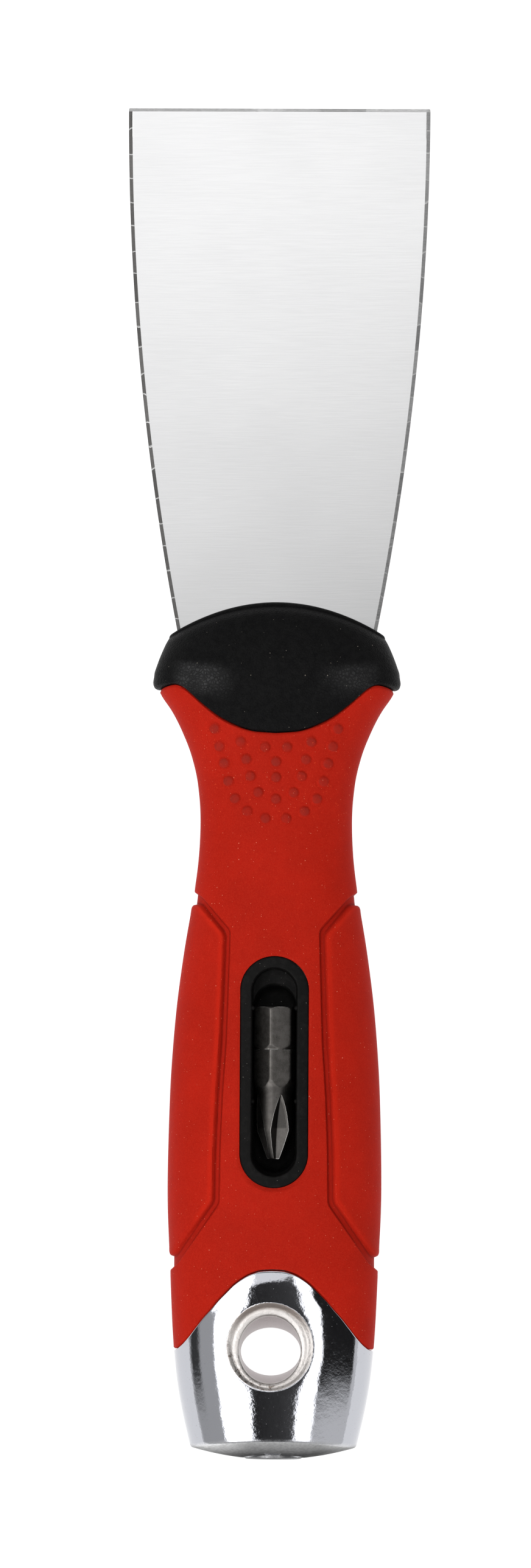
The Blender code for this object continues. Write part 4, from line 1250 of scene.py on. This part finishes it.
def build_cap():
    turn = angles(0.2, 0.26)
    n = len(turn)
    high = solve_seam(turn, cap_line, -SEAM, 25.0)
    # the face's edge falls away towards the sides
    edge = np.full(n, 2.8)
    for _ in range(4):
        edge = 3.5 - 1.1 * (shape(turn, edge)[:, 0] / 13.75) ** 2
    foot = edge + 0.6
    f = np.linspace(0, 1, 200)
    stations = foot[None, :] + (high - foot)[None, :] * f[:, None]
    T = np.broadcast_to(turn, stations.shape)
    base = shape(T, stations)
    normal = normals_of(base)
    dip, ring = cap_relief(base)
    to_high = high[None, :] - stations
    # the plating rises to the seam over the arch, with a small rounded lip all round
    arch = smooth01((11.0 - np.abs(base[..., 0])) / 3.5)
    fall = 0.1 * np.logaddexp(0, (2.0 - to_high) / 0.18) * 0.18 / 0.1 * 0.079
    drop = fall * arch + eased(to_high, 0.28)
    body = base - normal * (dip + drop)[..., None]
    # rim and crowned face
    rim = base[0]
    rim_n = normal[0]
    rings, strike = [], []
    crown_edge = shape(turn, edge)
    for share in (0.02, 0.06, 0.12, 0.2, 0.3, 0.4, 0.5, 0.6, 0.7, 0.8, 0.88, 0.94, 0.97):
        ringp = crown_edge.copy()
        ringp[:, 0] *= share
        ringp[:, 2] *= share
        ringp[:, 1] = APEX_S + (edge - APEX_S) * share**2
        rings.append(ringp)
        strike.append(np.ones(n))
    # edge between the face and the body, rounded
    a0, a1 = rings[-1], body[0]
    corner = crown_edge.copy()
    for t in (0.25, 0.5, 0.75):
        p = (1 - t) ** 2 * a0 + 2 * t * (1 - t) * corner + t * t * a1
        rings.append(p)
        strike.append(np.full(n, 1 - t))
    grid = np.concatenate([np.stack(rings), body])
    strike = np.concatenate([np.stack(strike), np.zeros(body.shape[:2])])
    ring_attr = np.concatenate([np.zeros((len(rings), n)), ring])
    # shoulder under the grip's lip, then a wall across
    shoulder = shape(turn, high, 1.2)
    shoulder[:, 1] = grid[-1][:, 1] + 0.02
    grid = np.concatenate([grid, shoulder[None]])
    strike = np.concatenate([strike, np.zeros((1, n))])
    ring_attr = np.concatenate([ring_attr, np.zeros((1, n))])
    count = len(grid)
    points = np.concatenate([grid.reshape(-1, 3), [[0, APEX_S, 0]]])
    k = np.arange(n)
    faces = [
        grid_faces(count, n),
        zipper(grid[-1][:, 0], (count - 1) * n),
        np.stack([k, (k + 1) % n, np.full(n, len(points) - 1)], -1),
    ]
    obj = to_object(
        "striking_cap",
        points,
        faces,
        50,
        {
            "ring": np.append(ring_attr.ravel(), 0),
            "strike": np.append(strike.ravel(), 1),
        },
    )
    # the hole through it, narrowest half way
    m = 128
    a = np.arange(m) * 2 * math.pi / m
    rings = []
    for z in np.linspace(-14, 14, 57):
        t = min(1.0, abs(z) / 9.6) ** 1.3
        rx = HOLE_WAIST[0] + (HOLE_FOOT[0] - HOLE_WAIST[0]) * t
        rs = HOLE_WAIST[1] + (HOLE_FOOT[1] - HOLE_WAIST[1]) * t
        mid = HOLE_WAIST_S + (HOLE_FOOT_S - HOLE_WAIST_S) * t
        rings.append(np.stack([HOLE_X + rx * np.cos(a), mid + rs * np.sin(a), np.full(m, z)], -1))
    boolean(obj, stack("hole", rings))
    boolean(
        obj,
        lathe("seat", [(0, 4), (5.2, 4), (5.2, 0.12), (5.02, -0.12), (5.02, -10.9), (0, -10.9)], (0, 0, 0), (0, -1, 0)),
    )
    # stem that runs into the handle, slotted for the tang
    box = plate("stem", np.array([-7.0, 7.0, 7.0, -7.0]), np.array([24.0, 24.0, 44.2, 44.2]), -4.2, 4.2)
    boolean(obj, box, "UNION")
    box = plate("tang_slot", np.array([-9.0, 9.0, 9.0, -9.0]), np.array([32.0, 32.0, 60.0, 60.0]), -1.05, 1.05)
    boolean(obj, box)
    for s in (36.0, 41.2):
        boolean(obj, lathe("pin_hole", [(0, 9), (1.75, 9), (1.75, -9), (0, -9)], (0, s, 0), (0, 0, 1), 32))
    return dress(resharpen(obj, 42), CHROME)


# ------------------------------------------------------------------ socket sleeve
def build_sleeve():
    body = lathe(
        "hex_socket",
        [(0, -0.3), (2.0, -0.32), (3.9, -0.38), (4.45, -0.43), (4.7, -0.54), (4.8, -0.7), (4.8, -9.5), (0, -9.5)],
        (0, 0, 0),
        (0, -1, 0),
        96,
    )
    m = 120
    a = np.arange(m) * 2 * math.pi / m
    sector = a % (math.pi / 3) - math.pi / 6
    flat = 6.55 / 2
    hexa = np.minimum(flat / np.cos(sector), 3.74)
    rings = []
    for s, grow in ((-0.45, 1.9), (0.75, 0.75), (1.5, 0.0), (12.0, 0.0)):
        r = hexa + grow if grow == 0 else np.minimum(hexa, 3.2) + grow
        r = np.maximum(r, hexa) if grow < 0.8 else np.full(m, 3.2 + grow)
        rings.append(np.stack([r * np.cos(a), np.full(m, s), r * np.sin(a)], -1))
    boolean(body, stack("hex", rings))
    return dress(resharpen(merged(body, 2e-6), 25), SLEEVE)


# ------------------------------------------------------------------ blade
def build_blade():
    def half(s):
        return BLADE_WIDTH / 2 - BLADE_SWEEP * (LENGTH - s) ** 2

    def thick(s):
        t = max(0.0, (s - 138.0) / (LENGTH - 0.55 - 138.0))
        return BLADE_THICK + (EDGE_THICK - BLADE_THICK) * t

    stations = [
        (TANG_END_S, TANG_HALF - 1), (TANG_END_S + 1, TANG_HALF), (112.0, TANG_HALF),
        (114.5, 6.3), (117.0, 8.0), (119.6, 11.0), (121.5, 12.0), (SHOULDER_S - 0.6, 12.2),
        (SHOULDER_S, 16.0),
    ]  # fmt: skip
    stations += [(s, half(s)) for s in np.linspace(SHOULDER_S + 1.4, LENGTH - 0.55, 90)]
    rings, edge = [], []
    for s, w in stations:
        t = thick(s) / 2
        bevel = 0.6
        drop = 0.26 * t / 0.75 + 0.03
        rise = t - drop
        row = [
            (w, s, rise), (w - 0.06, s, rise + 0.06), (w - bevel, s, t), (w - bevel - 0.12, s, t),
            (-w + bevel + 0.12, s, t), (-w + bevel, s, t), (-w + 0.06, s, rise + 0.06), (-w, s, rise),
            (-w, s, -rise), (-w + 0.06, s, -rise - 0.06), (-w + bevel, s, -t), (-w + bevel + 0.12, s, -t),
            (w - bevel - 0.12, s, -t), (w - bevel, s, -t), (w - 0.06, s, -rise - 0.06), (w, s, -rise),
        ]  # fmt: skip
        rings.append(row)
    # the scraping edge: eased over its last fraction of a millimetre
    for s, share in ((LENGTH - 0.06, 0.5), (LENGTH, 0.36)):
        row = []
        for x, _, z in rings[len(stations) - 1]:
            ease = 0.05 if s < LENGTH else 0.14
            row.append((x - math.copysign(ease, x), s, z * share))
        rings.append(row)
    pts = np.array(rings, float)
    rows, n = pts.shape[:2]
    caps = []
    for base in (0, (rows - 1) * n):
        for q in ((0, 1, 14, 15), (1, 2, 13, 14), (2, 3, 12, 13), (3, 4, 11, 12), (4, 5, 10, 11), (5, 6, 9, 10), (6, 7, 8, 9)):
            caps.append([base + i for i in q])
    obj = to_object("scraper_blade", pts.reshape(-1, 3), [grid_faces(rows, n), np.array(caps)], 12)
    dress(obj, STEEL, SHADED_EDGE, TIP)
    for poly in obj.data.polygons:
        c = poly.center
        s = c.y * 1000 + LENGTH / 2
        if s > LENGTH - 0.5:
            poly.material_index = 2
        elif s > SHOULDER_S and abs(c.x * 1000) > half(s) - 0.61:
            poly.material_index = 1
    for x, s in ((-8.6, 127.0), (8.6, 127.0), (0.0, 108.0), (0.0, 91.5), (0.0, 36.0), (0.0, 41.2)):
        boolean(obj, lathe("hole", [(0, 4), (1.75, 4), (1.75, -4), (0, -4)], (x, s, 0), (0, 0, 1), 32))
    return resharpen(obj, 12)


# ------------------------------------------------------------------ put together
pieces = {
    "grip_sleeve": (build_grip, "handle", "red_soft_grip"),
    "bolster": (build_bolster, "handle", "black_soft_grip"),
    "bit_tray": (build_tray, "handle", "tray_plastic"),
    "screwdriver_bit": (build_bit, "bit", "bit_steel"),
    "hammer_cap": (build_cap, "handle", "chrome"),
    "bit_socket_sleeve": (build_sleeve, "handle", "pin_steel"),
    "blade": (build_blade, "handle", "blade_steel"),
}
for node, (make, body, slot) in pieces.items():
    made = make()
    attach(made, body)
    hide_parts(node)

for name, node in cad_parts.items():
    if node.hide_render:
        continue
    if name.startswith("core"):
        surface = CORE
    elif name == "socket_magnet":
        surface = MAGNET
    else:
        surface = PIN
    for slot in node.material_slots:
        slot.material = surface

# ------------------------------------------------------------------ floor, light, camera
floor_n = 64
floor_mesh = bpy.data.meshes.new("floor")
bm = bmesh.new()
bmesh.ops.create_grid(bm, x_segments=8, y_segments=8, size=6.0)
bm.to_mesh(floor_mesh)
bm.free()
floor = bpy.data.objects.new("floor", floor_mesh)
bpy.context.scene.collection.objects.link(floor)
floor.location.z = -0.00005
paper = Nodes("floor_paper")
fibre = paper.noise(0.9, 4.0, 0.6, seed=44.0)
paper.set(
    Base_Color=paper.mix(paper.ramp(fibre, 0.3, 0.7), (0.15, 0.15, 0.15), (0.17, 0.17, 0.17)),
    Roughness=0.9,
    Specular_IOR_Level=0.1,
    Emission_Color=(1.0, 1.0, 1.0),
    Emission_Strength=0.99,
)
floor.data.materials.append(paper.material)

world = bpy.data.worlds.new("studio")
bpy.context.scene.world = world
world.use_nodes = True
tree = world.node_tree
background = tree.nodes["Background"]


class Sky(Nodes):
    def __init__(self, tree):
        self.tree = tree
        self.coords = tree.nodes.new("ShaderNodeTexCoord").outputs["Generated"]


sky = Sky(tree)
split = sky.make("ShaderNodeSeparateXYZ", {"Vector": sky.coords})
dx, dy, dz = (split.outputs[k] for k in "XYZ")
deg = math.radians
across = sky.math("ARCTAN2", dx, dz)  # angle from overhead, towards +X
along = sky.math("ARCTAN2", dy, dz)  # angle from overhead, towards +Y


def band(value, low, high, soft):
    """1 between two angles in degrees, with soft edges."""
    up = sky.ramp(value, deg(low - soft), deg(low + soft))
    down = sky.ramp(value, deg(high - soft), deg(high + soft), 1.0, 0.0)
    return sky.math("MULTIPLY", up, down)


def paint(light, mask, level):
    """Blends the light towards a level where the mask is 1."""
    keep = sky.math("SUBTRACT", 1.0, mask)
    return sky.math("ADD", sky.math("MULTIPLY", light, keep), sky.math("MULTIPLY", mask, level))


degrees_across = sky.math("MULTIPLY", across, 180 / math.pi)
degrees_along = sky.math("MULTIPLY", along, 180 / math.pi)
# dark cards at both sides, open towards the near end of the table
open_end = sky.ramp(dy, -0.27, -0.14)
light = sky.math("ADD", 0.82, 0.0)
light = paint(light, band(across, -88, -41, 3), 0.54)
shade = sky.math("MULTIPLY", band(across, -86, -67, 4), open_end)
light = paint(light, shade, 0.06)
light = paint(light, sky.math("MULTIPLY", band(across, 28, 82, 3), open_end), 0.018)
# two long strip lights over the table, a dark gap between them
reach = sky.math("MULTIPLY", sky.ramp(dy, 0.22, 0.30, 1.0, 0.0), sky.ramp(dy, -0.80, -0.70))
light = paint(light, sky.math("MULTIPLY", band(across, 11.5, 28.5, 1.9), reach), 2.5)
light = paint(light, sky.math("MULTIPLY", band(across, -42, -11.5, 1.9), reach), 3.3)
gap = sky.ramp(degrees_across, -9, 9, 0.022, 0.075, smooth=False)
# beyond the gap a sheet of paper, brighter the further up it is
slope = sky.math("SUBTRACT", degrees_along, sky.math("MULTIPLY", degrees_across, 0.5))
sheet = sky.ramp(slope, 1.9, 5.5, 0.0, 1.2, smooth=False)
sheet = sky.math("MULTIPLY", sheet, sky.ramp(degrees_along, 12, 15, 1.0, 0.12))
sheet = sky.math("ADD", sheet, sky.math("MULTIPLY", sky.ramp(degrees_along, 26, 30), 0.9))
light = paint(light, band(across, -11.5, 11.5, 1.2), sky.math("MAXIMUM", gap, sheet))
# the cards and strips stop short of the horizon at both ends of the table
light = paint(light, sky.ramp(sky.math("ABSOLUTE", dy), 0.972, 0.988), 0.82)
tree.links.new(light, background.inputs["Strength"])
background.inputs["Color"].default_value = (1.0, 1.0, 1.0, 1.0)

# camera: nearly square on to the front face, from slightly below and to the right
PX = 9.885
LENS = 250.0
VIEW_H = 2576 / PX * 0.001
distance = VIEW_H * LENS / 36.0
tilt, side = math.radians(2.3), math.radians(0.9)
cam = bpy.data.cameras.new("camera")
cam.lens = LENS
cam.sensor_width = 36.0
cam.clip_start = 0.05
cam.clip_end = 30
camera = bpy.data.objects.new("camera", cam)
bpy.context.scene.collection.objects.link(camera)
target = Vector((-0.00182, -0.0001, 0.0117))
away = Vector((math.sin(side), -math.sin(tilt), 1.0)).normalized()
camera.location = target + away * distance
back = away
roll = math.radians(-0.28)
up = Vector((math.sin(roll), math.cos(roll), 0.0))
right = up.cross(back).normalized()
up = back.cross(right).normalized()
camera.rotation_euler = Matrix((right, up, back)).transposed().to_euler()
bpy.context.scene.camera = camera

bpy.context.scene.view_settings.view_transform = "Standard"
bpy.context.scene.view_settings.look = "None"
